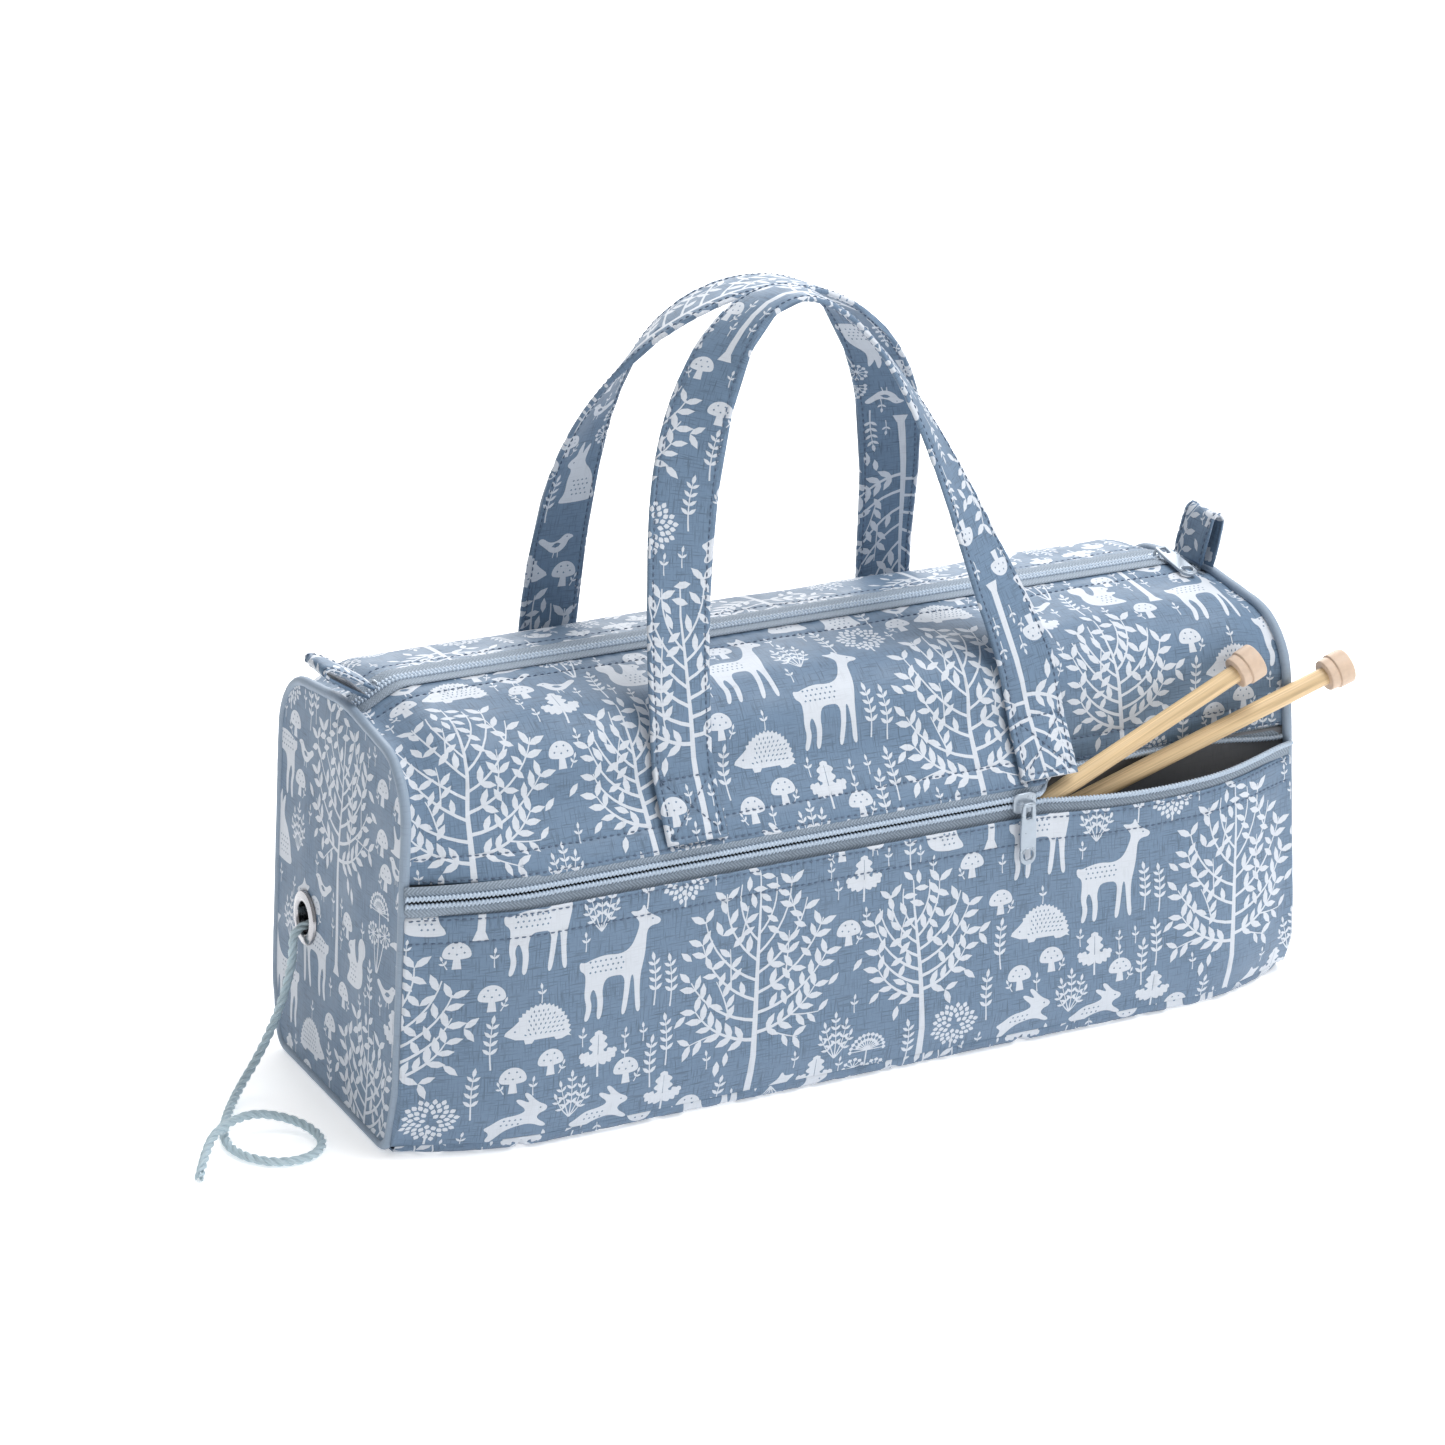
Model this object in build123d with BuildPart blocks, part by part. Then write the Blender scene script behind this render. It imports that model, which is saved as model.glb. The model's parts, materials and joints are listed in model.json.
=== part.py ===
"""Knitting bag: a long zipped barrel of printed cotton with an open front pocket,
two handles, a yarn eyelet, two needles in the pocket and a strand of yarn.

Frame: the origin is the centre of the underside, +X runs along the bag to its
right end, -Y is the pocket side and +Z is up. Lengths are in millimetres.
"""
from build123d import *
import os
from math import atan2, cos, degrees, pi, radians, sin, tan

# ------------------------------------------------------------ driving sizes
length = 440.0          # along the underside
end_lean = 11.0 / 175.0  # the ends lean in by this much for each unit of height
half_depth = 66.0       # from the middle to the outside of a side wall
base_half = 58.0        # half the depth at the bottom seam
top_height = 183.5      # upper edge of the fabric beside the top zip
shoulder_height = 176.0  # where the side and the top would meet without a round
shoulder_radius = 30.0
end_drop = 9.0          # how far the top falls towards each end
seam_height = 5.0       # bottom seam above the floor
cloth = 1.5             # quilted cloth
flank_height = 32.0     # where the walls turn from the bottom seam to upright
flank_radius = 40.0
end_thick = 2.0
piping_radius = 2.2
wall_inset = 2.2        # long walls stop this far inside the end planes
base_inset = 3.4
pocket_inset = 6.0

pocket_y = -86.3        # outside of the pocket when it holds the needles
pocket_seam_y = -82.0
pocket_top = 108.0
pocket_knee = 20.0      # height where the pocket panel turns upright
pocket_straight = 168.0  # the pocket stands out fully between -this and +this
panel_edge = 121.0      # lower edge of the upper front panel

zip_gap = 7.0           # from the zip's middle to the cloth edge beside it
coil_gap = 0.5          # half the slot between the two rows of teeth
coil_size = 2.1
tape_thick = 0.6

strap_width = 28.0
strap_thick = 2.6
strap_end_low = 124.1
strap_end_long = 27.0
strap_end_thick = 2.4
hinge_height = 152.0
leg_y = 68.2

needle_radius = 4.0
needle_cap_radius = 8.0
needle_length = 350.0
needle_cap_length = 12.0

yarn_diameter = 4.0
eyelet_y = 31.7
eyelet_height = 70.9
eyelet_hole = 7.0
eyelet_flange = 12.0

half_length = length / 2
lean_angle = degrees(atan2(end_lean, 1))
top_station = 196.0     # the top is level between -this and +this
low_station = 207.0     # and has fallen fully from here outwards
far_station = 222.0

os.makedirs("parts", exist_ok=True)


# ------------------------------------------------------------ shared helpers
def save(piece, name):
    """Label one finished piece and write its STEP file."""
    piece.part.label = name
    export_step(piece.part, f"parts/{name}.step")


def end_plane(side, inset=0.0):
    """The leaning plane of one end, facing outwards, moved inwards by inset."""
    slope = radians(lean_angle)
    normal = (side * cos(slope), 0, sin(slope))
    return Plane(origin=(side * half_length, 0, 0), x_dir=(0, side, 0), z_dir=normal).offset(-inset)


def trim_ends(inset):
    """Cut the piece being built off at both leaning ends."""
    split(bisect_by=end_plane(1, inset), keep=Keep.BOTTOM)
    split(bisect_by=end_plane(-1, inset), keep=Keep.BOTTOM)


def wall_section(x, points, radii, thick=cloth):
    """One cross-section of a cloth wall at x: a rounded line thickened inwards."""
    with BuildSketch(Plane.YZ.offset(x)) as section:
        with BuildLine():
            FilletPolyline(*points, radius=radii)
            offset(amount=thick, side=Side.RIGHT)
        make_face()
    return section.sketch


def drop_at(x):
    """Fall of the top at x."""
    return end_drop if abs(x) > top_station else 0.0


def top_points(x, sign):
    """Shoulder and top edge of a side wall at x, on the side given by sign."""
    fall = drop_at(x)
    return [(sign * half_depth, shoulder_height - fall), (sign * zip_gap, top_height - fall)]


def bent_strip(x, y_low, y_high, z_low, z_high):
    """Rectangle across the bag at x, for tapes and teeth that follow the top."""
    fall = drop_at(x)
    with BuildSketch(Plane.YZ.offset(x)) as section:
        with Locations(((y_low + y_high) / 2, (z_low + z_high) / 2 - fall)):
            Rectangle(y_high - y_low, z_high - z_low)
    return section.sketch


stations = (-far_station, -low_station, -top_station, top_station, low_station, far_station)

# ------------------------------------------------------------ base
with BuildPart() as base_panel:
    with BuildSketch() as base_outline:
        with BuildLine():
            FilletPolyline(
                (-half_length, -base_half), (-pocket_straight, pocket_seam_y),
                (pocket_straight, pocket_seam_y), (half_length, -base_half),
                (half_length, base_half), (-half_length, base_half),
                radius=8, close=True)
        make_face()
    extrude(amount=seam_height)
    with BuildSketch(Plane.XY.offset(cloth)):
        add(base_outline.sketch)
        offset(amount=-cloth, mode=Mode.REPLACE)
    extrude(amount=seam_height, mode=Mode.SUBTRACT)
    trim_ends(base_inset)
save(base_panel, "base_panel")

with BuildPart() as base_board:
    with BuildSketch(Plane.XY.offset(cloth + 0.2)):
        RectangleRounded(length - 16, 2 * base_half - 12, 8)
    extrude(amount=2.5)
save(base_board, "base_board")

# ------------------------------------------------------------ side walls
wall_low = seam_height + 0.3
wall_shoulder = shoulder_radius - 4  # round of the cloth's outside at the shoulder

with BuildPart() as pocket_back:
    for x in (-far_station, far_station):
        wall = [(-base_half - 1, wall_low), (-half_depth + 1.8, flank_height),
                (-half_depth - 0.2, panel_edge - 0.4)]
        add(wall_section(x, wall, flank_radius))
    loft(ruled=True)
    trim_ends(wall_inset)
save(pocket_back, "pocket_back")

with BuildPart() as back_panel:
    for x in stations:
        top = top_points(x, 1)
        wall = [(base_half + 1, wall_low), (half_depth + 0.2, flank_height)] + top
        add(wall_section(x, wall[::-1], [wall_shoulder, flank_radius]))
    loft(ruled=True)
    trim_ends(wall_inset)
save(back_panel, "back_panel")

edge_out = -83.6        # lower edge of the upper panel over the closed zip
edge_in = -half_depth - 0.4  # and behind the open zip
edge_end = -half_depth + 0.1  # and at both ends
waist_height = 148.0    # above this the upper panel lies flat against the bag
waist_radius = 20.0
front_edge = [
    (-far_station, edge_end), (-low_station, edge_end), (-top_station, -74), (-pocket_straight, edge_out),
    (80, edge_out), (102, edge_in), (top_station, edge_in), (low_station, edge_end), (far_station, edge_end)]
with BuildPart() as upper_front:
    for x, edge_y in front_edge:
        top = top_points(x, -1)
        waist_y = edge_end + 0.1 if edge_y == edge_end else -half_depth - 0.3
        wall = [(edge_y, panel_edge), (waist_y, waist_height - drop_at(x))] + top
        add(wall_section(x, wall, [waist_radius, wall_shoulder]))
    loft(ruled=True)
    trim_ends(wall_inset)
save(upper_front, "upper_front")

with BuildPart() as pocket_front:
    for x in (-far_station, -pocket_straight, pocket_straight, far_station):
        out = abs(x) == pocket_straight
        face_y = pocket_y if out else -half_depth - 2.4
        seam_y = pocket_seam_y if out else -base_half - 2.4
        add(wall_section(x, [(seam_y, wall_low), (face_y, pocket_knee), (face_y + 0.3, pocket_top)], 15))
    loft(ruled=True)
    trim_ends(pocket_inset)
save(pocket_front, "pocket_front")


# ------------------------------------------------------------ ends, piping
def end_outline(grow=0.0):
    """Rounded outline of an end on its own leaning plane."""
    low = base_half + grow
    side = half_depth + grow
    high = shoulder_height - end_drop + grow
    crown = top_height - end_drop + grow
    bottom = seam_height - 0.2 - grow
    shoulder = wall_shoulder + grow
    FilletPolyline(
        (-low, bottom), (low, bottom), (side, flank_height), (side + 0.1, high),
        (zip_gap, crown), (-zip_gap, crown), (-side - 0.1, high), (-side, flank_height),
        radius=[9, 9, flank_radius, shoulder, 18, 18, shoulder, flank_radius], close=True)


for side, name in ((-1, "left"), (1, "right")):
    with BuildPart() as end_panel:
        with BuildSketch(end_plane(side)):
            with BuildLine():
                end_outline()
            make_face()
        extrude(amount=-end_thick)
        if side < 0:
            with Locations(end_plane(side).offset(1)):
                with Locations((-eyelet_y, eyelet_height)):
                    Hole(eyelet_hole + 1.2, 2 * end_thick)
    save(end_panel, f"end_panel_{name}")

for side, name in ((-1, "left"), (1, "right")):
    with BuildPart() as piping:
        with BuildLine(end_plane(side, 1.0)) as piping_route:
            end_outline(piping_radius + 0.3)
        with BuildSketch(Plane(piping_route.line @ 0, z_dir=piping_route.line % 0)):
            Circle(piping_radius)
        sweep()
    save(piping, f"piping_{name}")


# ------------------------------------------------------------ top zip
tape_top = top_height - cloth - 0.6
coil_low = tape_top - 1.0
tape_outer = 10.4
tape_inner = coil_gap + coil_size

for sign, name in ((-1, "front"), (1, "back")):
    with BuildPart() as tape:
        for x in stations:
            ends = sorted((sign * tape_inner, sign * tape_outer))
            add(bent_strip(x, ends[0], ends[1], tape_top - tape_thick, tape_top))
        loft(ruled=True)
        trim_ends(2.6)
    save(tape, f"top_tape_{name}")

    with BuildPart() as coil:
        for x in stations:
            ends = sorted((sign * coil_gap, sign * tape_inner))
            add(bent_strip(x, ends[0], ends[1], coil_low, coil_low + coil_size))
        loft(ruled=True)
        trim_ends(8)
    save(coil, f"top_coil_{name}")

slider_length = 11.0
slider_width = 9.0
plate_thick = 1.2
plate_clear = 0.4       # from a slider plate to the teeth
top_slider_x = 186.0
pocket_slider_x = 67.0
web_thick = 0.5
bail_span = 7.2
bail_rise = 2.6
bail_wire = 1.3
pull_width = 7.6
pull_length = 27.0
pull_thick = 1.4
eye_half = 2.8
eye_radius = 1.9
eye_bore = 1.2

for side, name in ((-1, "left"), (1, "right")):
    with BuildPart() as stop:
        stop_x = side * (top_station - 1.8)
        with Locations((stop_x, 0, coil_low + coil_size + 0.7)):
            Box(2.4, 5.2, 1.4)
    save(stop, f"top_stop_{name}")


def slider():
    """A zip slider about its own origin, the middle of the teeth: the outer plate is up,
    the wedge that parts the teeth is towards +X, and a bail stands along X on the plate."""
    plate_low = coil_size / 2 + plate_clear
    with BuildPart() as body:
        for height in (plate_low, -plate_low - plate_thick):
            with BuildSketch(Plane.XY.offset(height)):
                RectangleRounded(slider_length, slider_width, 2.4)
            extrude(amount=plate_thick)
        with Locations((slider_length / 2 - 2.5, 0, 0)):
            Box(3.4, web_thick, 2 * plate_low + 0.2)
        with BuildSketch(Plane.XZ) as bail:
            with Locations((0, plate_low + plate_thick)):
                Rectangle(bail_span + 2 * bail_wire, bail_rise + bail_wire, align=(Align.CENTER, Align.MIN))
                Rectangle(bail_span, bail_rise, align=(Align.CENTER, Align.MIN), mode=Mode.SUBTRACT)
        extrude(amount=bail_wire / 2, both=True)
    return body.part


def pull():
    """A zip pull about its hinge, hanging along -Y: a rolled eye, a plate and a round hole."""
    neck_y = -8
    corner = 3.4
    with BuildPart() as body:
        with BuildSketch():
            with BuildLine():
                FilletPolyline(
                    (-eye_half, -eye_radius + 0.4), (eye_half, -eye_radius + 0.4), (pull_width / 2, neck_y),
                    (pull_width / 2, -pull_length), (-pull_width / 2, -pull_length),
                    (-pull_width / 2, neck_y), radius=[0.4, 0.4, 6, corner, corner, 6], close=True)
            make_face()
            with Locations((0, 4.6 - pull_length)):
                Circle(2.9, mode=Mode.SUBTRACT)
        extrude(amount=pull_thick / 2, both=True)
        with BuildSketch(Plane.YZ):
            Circle(eye_radius)
        extrude(amount=eye_half, both=True)
        with BuildSketch(Plane.YZ):
            Circle(eye_bore)
        extrude(amount=eye_half, both=True, mode=Mode.SUBTRACT)
    return body.part


hinge_rise = coil_size / 2 + plate_clear + plate_thick + bail_rise + bail_wire / 2
top_slider_z = coil_low + coil_size / 2
top_hinge_z = top_slider_z + hinge_rise
top_pull_rest = 10.0    # the pull slopes down over the front shoulder

top_slider_body = Pos(top_slider_x, 0, top_slider_z) * slider()
with BuildPart() as top_slider:
    add(top_slider_body)
save(top_slider, "top_slider")

top_pull_body = Pos(top_slider_x, 0, top_hinge_z) * Rot(top_pull_rest, 0, 0) * pull()
with BuildPart() as top_pull:
    add(top_pull_body)
save(top_pull, "top_pull")

# ------------------------------------------------------------ pocket zip
chain_z = 115.0
chain_y = pocket_y + 1.5 + coil_size / 2 + 0.2
row_step = coil_gap + coil_size / 2
open_start = pocket_slider_x + 12
end_y = -half_depth - 3.4


def row(points, radii, name):
    """One row of teeth: a square bar along its route."""
    with BuildPart() as teeth:
        with BuildLine() as route:
            FilletPolyline(*points, radius=radii)
        with BuildSketch(Plane(route.line @ 0, z_dir=route.line % 0)):
            Rectangle(coil_size, coil_size)
        sweep()
    save(teeth, name)


low_row = chain_z - row_step
high_row = chain_z + row_step
open_y = -half_depth - 1.5
open_z = panel_edge - 1.2
row([(-202, end_y, low_row), (-pocket_straight, chain_y, low_row), (pocket_straight, chain_y, low_row),
     (200, end_y, low_row + 1)], 40, "pocket_coil_lower")
row([(-202, end_y, high_row), (-pocket_straight, chain_y, high_row), (open_start - 4, chain_y, high_row),
     (open_start + 10, open_y, open_z), (203, open_y, open_z + 0.1)], [40, 8, 8], "pocket_coil_upper")

tape_face = pocket_y + cloth + 0.4
with BuildPart() as lower_tape:
    with BuildSketch(Plane.XY.offset(pocket_top - 8)):
        with BuildLine():
            FilletPolyline((-203, end_y - 0.6), (-pocket_straight, tape_face), (pocket_straight, tape_face),
                           (203, end_y - 0.6), radius=50)
            offset(amount=tape_thick, side=Side.LEFT)
        make_face()
    extrude(amount=low_row - coil_size / 2 - 0.1 - pocket_top + 8)
save(lower_tape, "pocket_tape_lower")

upper_tapes = [
    ("pocket_tape_upper", chain_z + row_step + coil_size / 2 + 0.1, panel_edge - 1,
     [(-203, end_y), (-pocket_straight, edge_out + 0.3), (open_start - 5, edge_out + 0.3)]),
    ("pocket_tape_open", 112, open_z - coil_size / 2 - 0.1,
     [(open_start + 13, -half_depth - 0.9), (203, -half_depth - 0.9)])]
for name, z_low, z_high, route in upper_tapes:
    with BuildPart() as tape:
        for x, face_y in route:
            with BuildSketch(Plane.YZ.offset(x)):
                with Locations((face_y + tape_thick / 2, (z_low + z_high) / 2)):
                    Rectangle(tape_thick, z_high - z_low)
        loft(ruled=True)
    save(tape, name)

pocket_slider_body = Pos(pocket_slider_x, chain_y, chain_z) * Rot(90, 0, 0) * slider()
with BuildPart() as pocket_slider:
    add(pocket_slider_body)
save(pocket_slider, "pocket_slider")

pocket_pull_body = Pos(pocket_slider_x, chain_y - hinge_rise, chain_z) * Rot(90, 0, 0) * pull()
with BuildPart() as pocket_pull:
    add(pocket_pull_body)
save(pocket_pull, "pocket_pull")

# ------------------------------------------------------------ handles
left_leg_x = -87.0
right_leg_x = 80.5
leg_gap = 1.2           # between a stitched strap end and its free handle


def handle(points, name):
    """A flat strap lofted along its arch; each point is x, y, z and the way the width points."""
    spots = [Vector(*point[:3]) for point in points]
    with BuildPart() as strap:
        for index, point in enumerate(points):
            ahead = spots[min(index + 1, len(spots) - 1)]
            behind = spots[max(index - 1, 0)]
            along = (ahead - behind).normalized()
            width = Vector(cos(radians(point[3])), sin(radians(point[3])), 0)
            width = width - along * width.dot(along)
            with BuildSketch(Plane(origin=spots[index], x_dir=width, z_dir=along)):
                Rectangle(strap_width, strap_thick)
        loft()
    save(strap, name)


leg_low = hinge_height + leg_gap
handle([(left_leg_x, -leg_y, leg_low, 0), (-86.6, -67.2, 171, 0), (-85.4, -62.5, 191, 0),
        (-80, -52, 230, -6), (-70, -38, 270, -26), (-53, -25.5, 305, -55), (-32, -17.5, 327, -80),
        (-8, -15, 334, -90), (16, -17.5, 321, -98),
        (38, -25, 292, -115), (56, -37, 250, -136), (69, -50.5, 207, -158), (76.5, -62.3, 180, -176),
        (79.2, -66.6, 166, -180), (right_leg_x, -leg_y, leg_low, -180)], "handle_front")
handle([(left_leg_x, leg_y, leg_low, 180), (-86.8, 67.2, 171, 180), (-86.2, 62.8, 191, 180),
        (-84, 53, 232, 188), (-78, 38, 272, 208), (-64, 26, 303, 238), (-42, 17.5, 322, 260),
        (-14, 15, 330, 270), (18, 17.5, 325, 278),
        (44, 25, 305, 296), (63, 34, 272, 326), (73, 48, 235, 348), (77.6, 61.6, 194, 360),
        (79.6, 66.8, 172, 360), (right_leg_x, leg_y, leg_low, 360)], "handle_back")

end_slope = atan2(-half_depth - 0.3 - edge_out, waist_height + 2 - panel_edge)
for leg_x, side in ((left_leg_x, "left"), (right_leg_x, "right")):
    lean = Plane(origin=(leg_x, -76.5, 136.4), x_dir=(1, 0, 0), z_dir=(0, -cos(end_slope), sin(end_slope)))
    with BuildPart(lean) as strap_end:
        Box(strap_width, strap_end_long, strap_end_thick)
    save(strap_end, f"strap_end_front_{side}")

    upright = Plane(origin=(leg_x, half_depth + 1.7, strap_end_low + strap_end_long / 2),
                    x_dir=(1, 0, 0), z_dir=(0, 1, 0))
    with BuildPart(upright) as strap_end:
        Box(strap_width, strap_end_long, strap_end_thick)
    save(strap_end, f"strap_end_back_{side}")

# ------------------------------------------------------------ tabs at the ends of the zip
tab_width = 24.0
tab_height = 22.0
tab_gap = 5.0
for side, lean, foot_x, foot_z, name in ((-1, 58, -201, 183.6, "left"), (1, 14, 203.5, 180.6, "right")):
    foot = Vector(foot_x, 0, foot_z)
    away = Vector(side * cos(radians(lean)), 0, -sin(radians(lean)))
    tab_plane = Plane(origin=foot, x_dir=away, z_dir=(0, -side, 0))
    with BuildPart() as tab:
        with BuildSketch(tab_plane):
            with BuildLine():
                FilletPolyline((-tab_gap / 2, 0), (-tab_gap / 2, tab_height), (tab_gap / 2, tab_height),
                               (tab_gap / 2, 0), radius=2.3)
                offset(amount=1.3, side=Side.RIGHT)
            make_face()
        extrude(amount=tab_width / 2, both=True)
    save(tab, f"tab_{name}")

# ------------------------------------------------------------ yarn eyelet
eyelet_plane = Plane(end_plane(-1).location * Location((-eyelet_y, eyelet_height, 0)))
with BuildPart() as eyelet:
    with BuildSketch(eyelet_plane):
        Circle(eyelet_flange)
    extrude(amount=1.1)
    fillet(eyelet.edges().sort_by(SortBy.DISTANCE)[-1:], 0.7)
    with BuildSketch(eyelet_plane):
        Circle(eyelet_hole + 1)
    extrude(amount=-3.4)
    with BuildSketch(eyelet_plane.offset(1.2)):
        Circle(eyelet_hole)
    extrude(amount=-5, mode=Mode.SUBTRACT)
save(eyelet, "eyelet")

with BuildPart() as washer:
    with BuildSketch(eyelet_plane.offset(-2.1)):
        Circle(eyelet_flange - 0.5)
        Circle(eyelet_hole + 1.1, mode=Mode.SUBTRACT)
    extrude(amount=-0.8)
save(washer, "eyelet_washer")

# ------------------------------------------------------------ needles
shaft_length = needle_length - needle_cap_length
socket_depth = 3.0      # how far the shaft sits in its cap
point_length = 26.0


def needle(cap_start, direction, name):
    """A shaft with a tapered point, and its stepped cap, along direction from the cap inwards."""
    axis = Plane(origin=cap_start, z_dir=direction)
    with BuildPart() as shaft:
        with BuildSketch(axis.offset(socket_depth)):
            Circle(needle_radius)
        extrude(amount=-(shaft_length + socket_depth - point_length))
        with BuildSketch(axis.offset(-(shaft_length - point_length))):
            Circle(needle_radius)
        with BuildSketch(axis.offset(-shaft_length)):
            Circle(0.8)
        loft()
    save(shaft, f"{name}_shaft")
    with BuildPart() as cap:
        with BuildSketch(axis):
            Circle(needle_cap_radius - 0.7)
        extrude(amount=needle_cap_length / 3)
        with BuildSketch(axis.offset(needle_cap_length / 3)):
            Circle(needle_cap_radius)
        extrude(amount=needle_cap_length * 2 / 3)
        fillet(cap.faces().sort_by(SortBy.DISTANCE)[-1].edges(), 1.2)
        with BuildSketch(axis):
            Circle(needle_radius)
        extrude(amount=socket_depth, mode=Mode.SUBTRACT)
    save(cap, f"{name}_cap")


needle((177, -77.2, 153.5), (1, 0.0113, 0.445), "needle_one")
needle((225.3, -75.3, 144.2), (1, -0.0195, 0.316), "needle_two")

# ------------------------------------------------------------ yarn
floor_run = yarn_diameter / 2 + 0.1
over_run = 10.4         # where it crosses over itself
yarn_points = [
    (-186, 34.4, 71), (-203, 33.4, 67.6), (-222.2, 32.7, 66.9), (-222.7, 32.5, 53.5), (-226.3, 32.3, 40),
    (-232.3, 31.6, 26), (-241.5, 29, 12), (-252.5, 21.5, 3.8), (-263, 6.5, floor_run),
    (-272.5, -11, floor_run), (-277, -27, floor_run), (-273.5, -42, floor_run), (-263, -53, floor_run),
    (-249, -53.5, floor_run), (-239.5, -43.5, floor_run + 0.2), (-240.5, -30, floor_run + 1.8),
    (-250, -20.5, floor_run + 5), (-264, -18.5, over_run), (-282, -28.5, over_run), (-291, -40, 6),
    (-297.5, -51.5, floor_run)]


def largest_radii(points):
    """The arc at each inner point that the shorter of its two runs allows."""
    spots = [Vector(*point) for point in points]
    radii = []
    for before, here, after in zip(spots, spots[1:], spots[2:]):
        turn = (here - before).get_angle(after - here)
        shorter = min((here - before).length, (after - here).length)
        radii.append(round(0.45 * shorter / tan(radians(turn / 2)), 2))
    return radii


yarn_radii = largest_radii(yarn_points)
with BuildPart() as yarn:
    with BuildLine() as yarn_route:
        FilletPolyline(*yarn_points, radius=yarn_radii)
    with BuildSketch(Plane(yarn_route.line @ 0, z_dir=yarn_route.line % 0)):
        Circle(yarn_diameter / 2)
    sweep()
save(yarn, "yarn_strand")
yarn_length = yarn_route.wires()[0].length
print("yarn radii", yarn_radii)
print("yarn length", round(yarn_length, 1), "volume", round(yarn.part.volume, 1),
      "section x length", round(yarn_length * pi * (yarn_diameter / 2) ** 2, 1))
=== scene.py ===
"""Looks of the knitting bag: printed cotton panels, zips, handles, eyelet, needles and yarn.

Everything is in metres in the bag's own frame: the origin is the centre of the underside,
+X runs to the right end, -Y is the pocket side and +Z is up.
"""
import json
import math
import random

import bmesh
import bpy
import numpy as np
from bpy.props import FloatProperty, FloatVectorProperty, IntProperty
from mathutils import Matrix, Vector, geometry, noise


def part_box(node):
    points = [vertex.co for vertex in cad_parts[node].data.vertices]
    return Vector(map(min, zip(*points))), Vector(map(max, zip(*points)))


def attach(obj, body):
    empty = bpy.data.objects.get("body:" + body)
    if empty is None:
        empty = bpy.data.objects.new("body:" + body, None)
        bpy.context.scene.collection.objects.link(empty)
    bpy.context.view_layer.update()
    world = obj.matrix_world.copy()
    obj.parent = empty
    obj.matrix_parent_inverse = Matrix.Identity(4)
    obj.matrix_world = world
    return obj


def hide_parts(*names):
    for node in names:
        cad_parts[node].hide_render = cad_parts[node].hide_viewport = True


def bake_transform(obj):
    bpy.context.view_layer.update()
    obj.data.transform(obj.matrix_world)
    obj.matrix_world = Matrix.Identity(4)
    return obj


bl_info = {
    "name": "Knitting bag",
    "version": (1, 0, 0),
    "blender": (4, 5, 0),
    "location": "3D View > Sidebar > Knitting bag",
    "description": "Makes a printed cotton knitting bag around its fixed frame",
    "category": "Mesh",
}

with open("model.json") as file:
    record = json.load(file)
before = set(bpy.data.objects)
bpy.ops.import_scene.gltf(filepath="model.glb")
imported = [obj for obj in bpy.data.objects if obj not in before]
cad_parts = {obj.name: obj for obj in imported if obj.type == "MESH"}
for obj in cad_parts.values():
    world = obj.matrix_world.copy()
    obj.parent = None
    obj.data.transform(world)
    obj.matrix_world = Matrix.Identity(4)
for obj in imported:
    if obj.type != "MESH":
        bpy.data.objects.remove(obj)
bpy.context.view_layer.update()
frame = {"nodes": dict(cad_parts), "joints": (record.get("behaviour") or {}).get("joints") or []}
MM = 0.001

# ------------------------------------------------------------ places from the frame
back_low, back_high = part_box("back_panel")
upper_low, upper_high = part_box("upper_front")
pocket_low, pocket_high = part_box("pocket_front")
base_low, base_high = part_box("base_panel")
end_low, end_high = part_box("end_panel_right")
tape_low, tape_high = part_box("top_tape_back")
coil_low, coil_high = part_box("top_coil_back")

END_LEAN = 11 / 175             # the ends lean in by this much for each unit of height
HALF_LENGTH = end_high.x + end_low.z * END_LEAN
HALF_DEPTH = 66 * MM
ZIP_GAP = 7 * MM
TOP = back_high.z
SHOULDER = TOP - 7.5 * MM
SEAM = back_low.z
END_DROP = TOP - end_high.z - 0.3 * MM
PANEL_EDGE = 121 * MM
POCKET_FACE = pocket_low.y
POCKET_TOP = pocket_high.z
CHAIN_Z = 115 * MM
CHAIN_Y = -83.55 * MM
ROW_STEP = 1.55 * MM
EYELET_ACROSS, EYELET_UP = 31.7 * MM, 70.9 * MM
OPEN_FROM, OPEN_TO = 78 * MM, 203 * MM


# ------------------------------------------------------------ what a user would change
class BagSizes(bpy.types.PropertyGroup):
    grid: FloatProperty(name="Cloth grid", description="Spacing of the points that shape the cloth",
                        default=3.4 * MM, subtype="DISTANCE", unit="LENGTH")
    cloth: FloatProperty(name="Cloth thickness", description="Thickness of the lined cotton",
                         default=1.2 * MM, subtype="DISTANCE", unit="LENGTH")
    stitch: FloatProperty(name="Stitch", description="Length of one topstitch",
                          default=2.3 * MM, subtype="DISTANCE", unit="LENGTH")
    stitch_gap: FloatProperty(name="Stitch gap", description="Cloth between two stitches",
                              default=0.8 * MM, subtype="DISTANCE", unit="LENGTH")
    tooth_pitch: FloatProperty(name="Tooth pitch", description="Spacing of the zip's coils",
                               default=1.7 * MM, subtype="DISTANCE", unit="LENGTH")
    yarn: FloatProperty(name="Yarn", description="Diameter of the yarn",
                        default=4 * MM, subtype="DISTANCE", unit="LENGTH")
    yarn_twist: FloatProperty(name="Yarn twist", description="Length in which a ply goes round once",
                              default=13 * MM, subtype="DISTANCE", unit="LENGTH")
    print_seed: IntProperty(name="Print seed", description="Layout of the small motifs", default=5)


def colour(label, red, green, blue):
    return FloatVectorProperty(name=label, description=f"Colour of the {label.lower()}", subtype="COLOR",
                               size=3, min=0, max=1, default=(red, green, blue))


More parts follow.
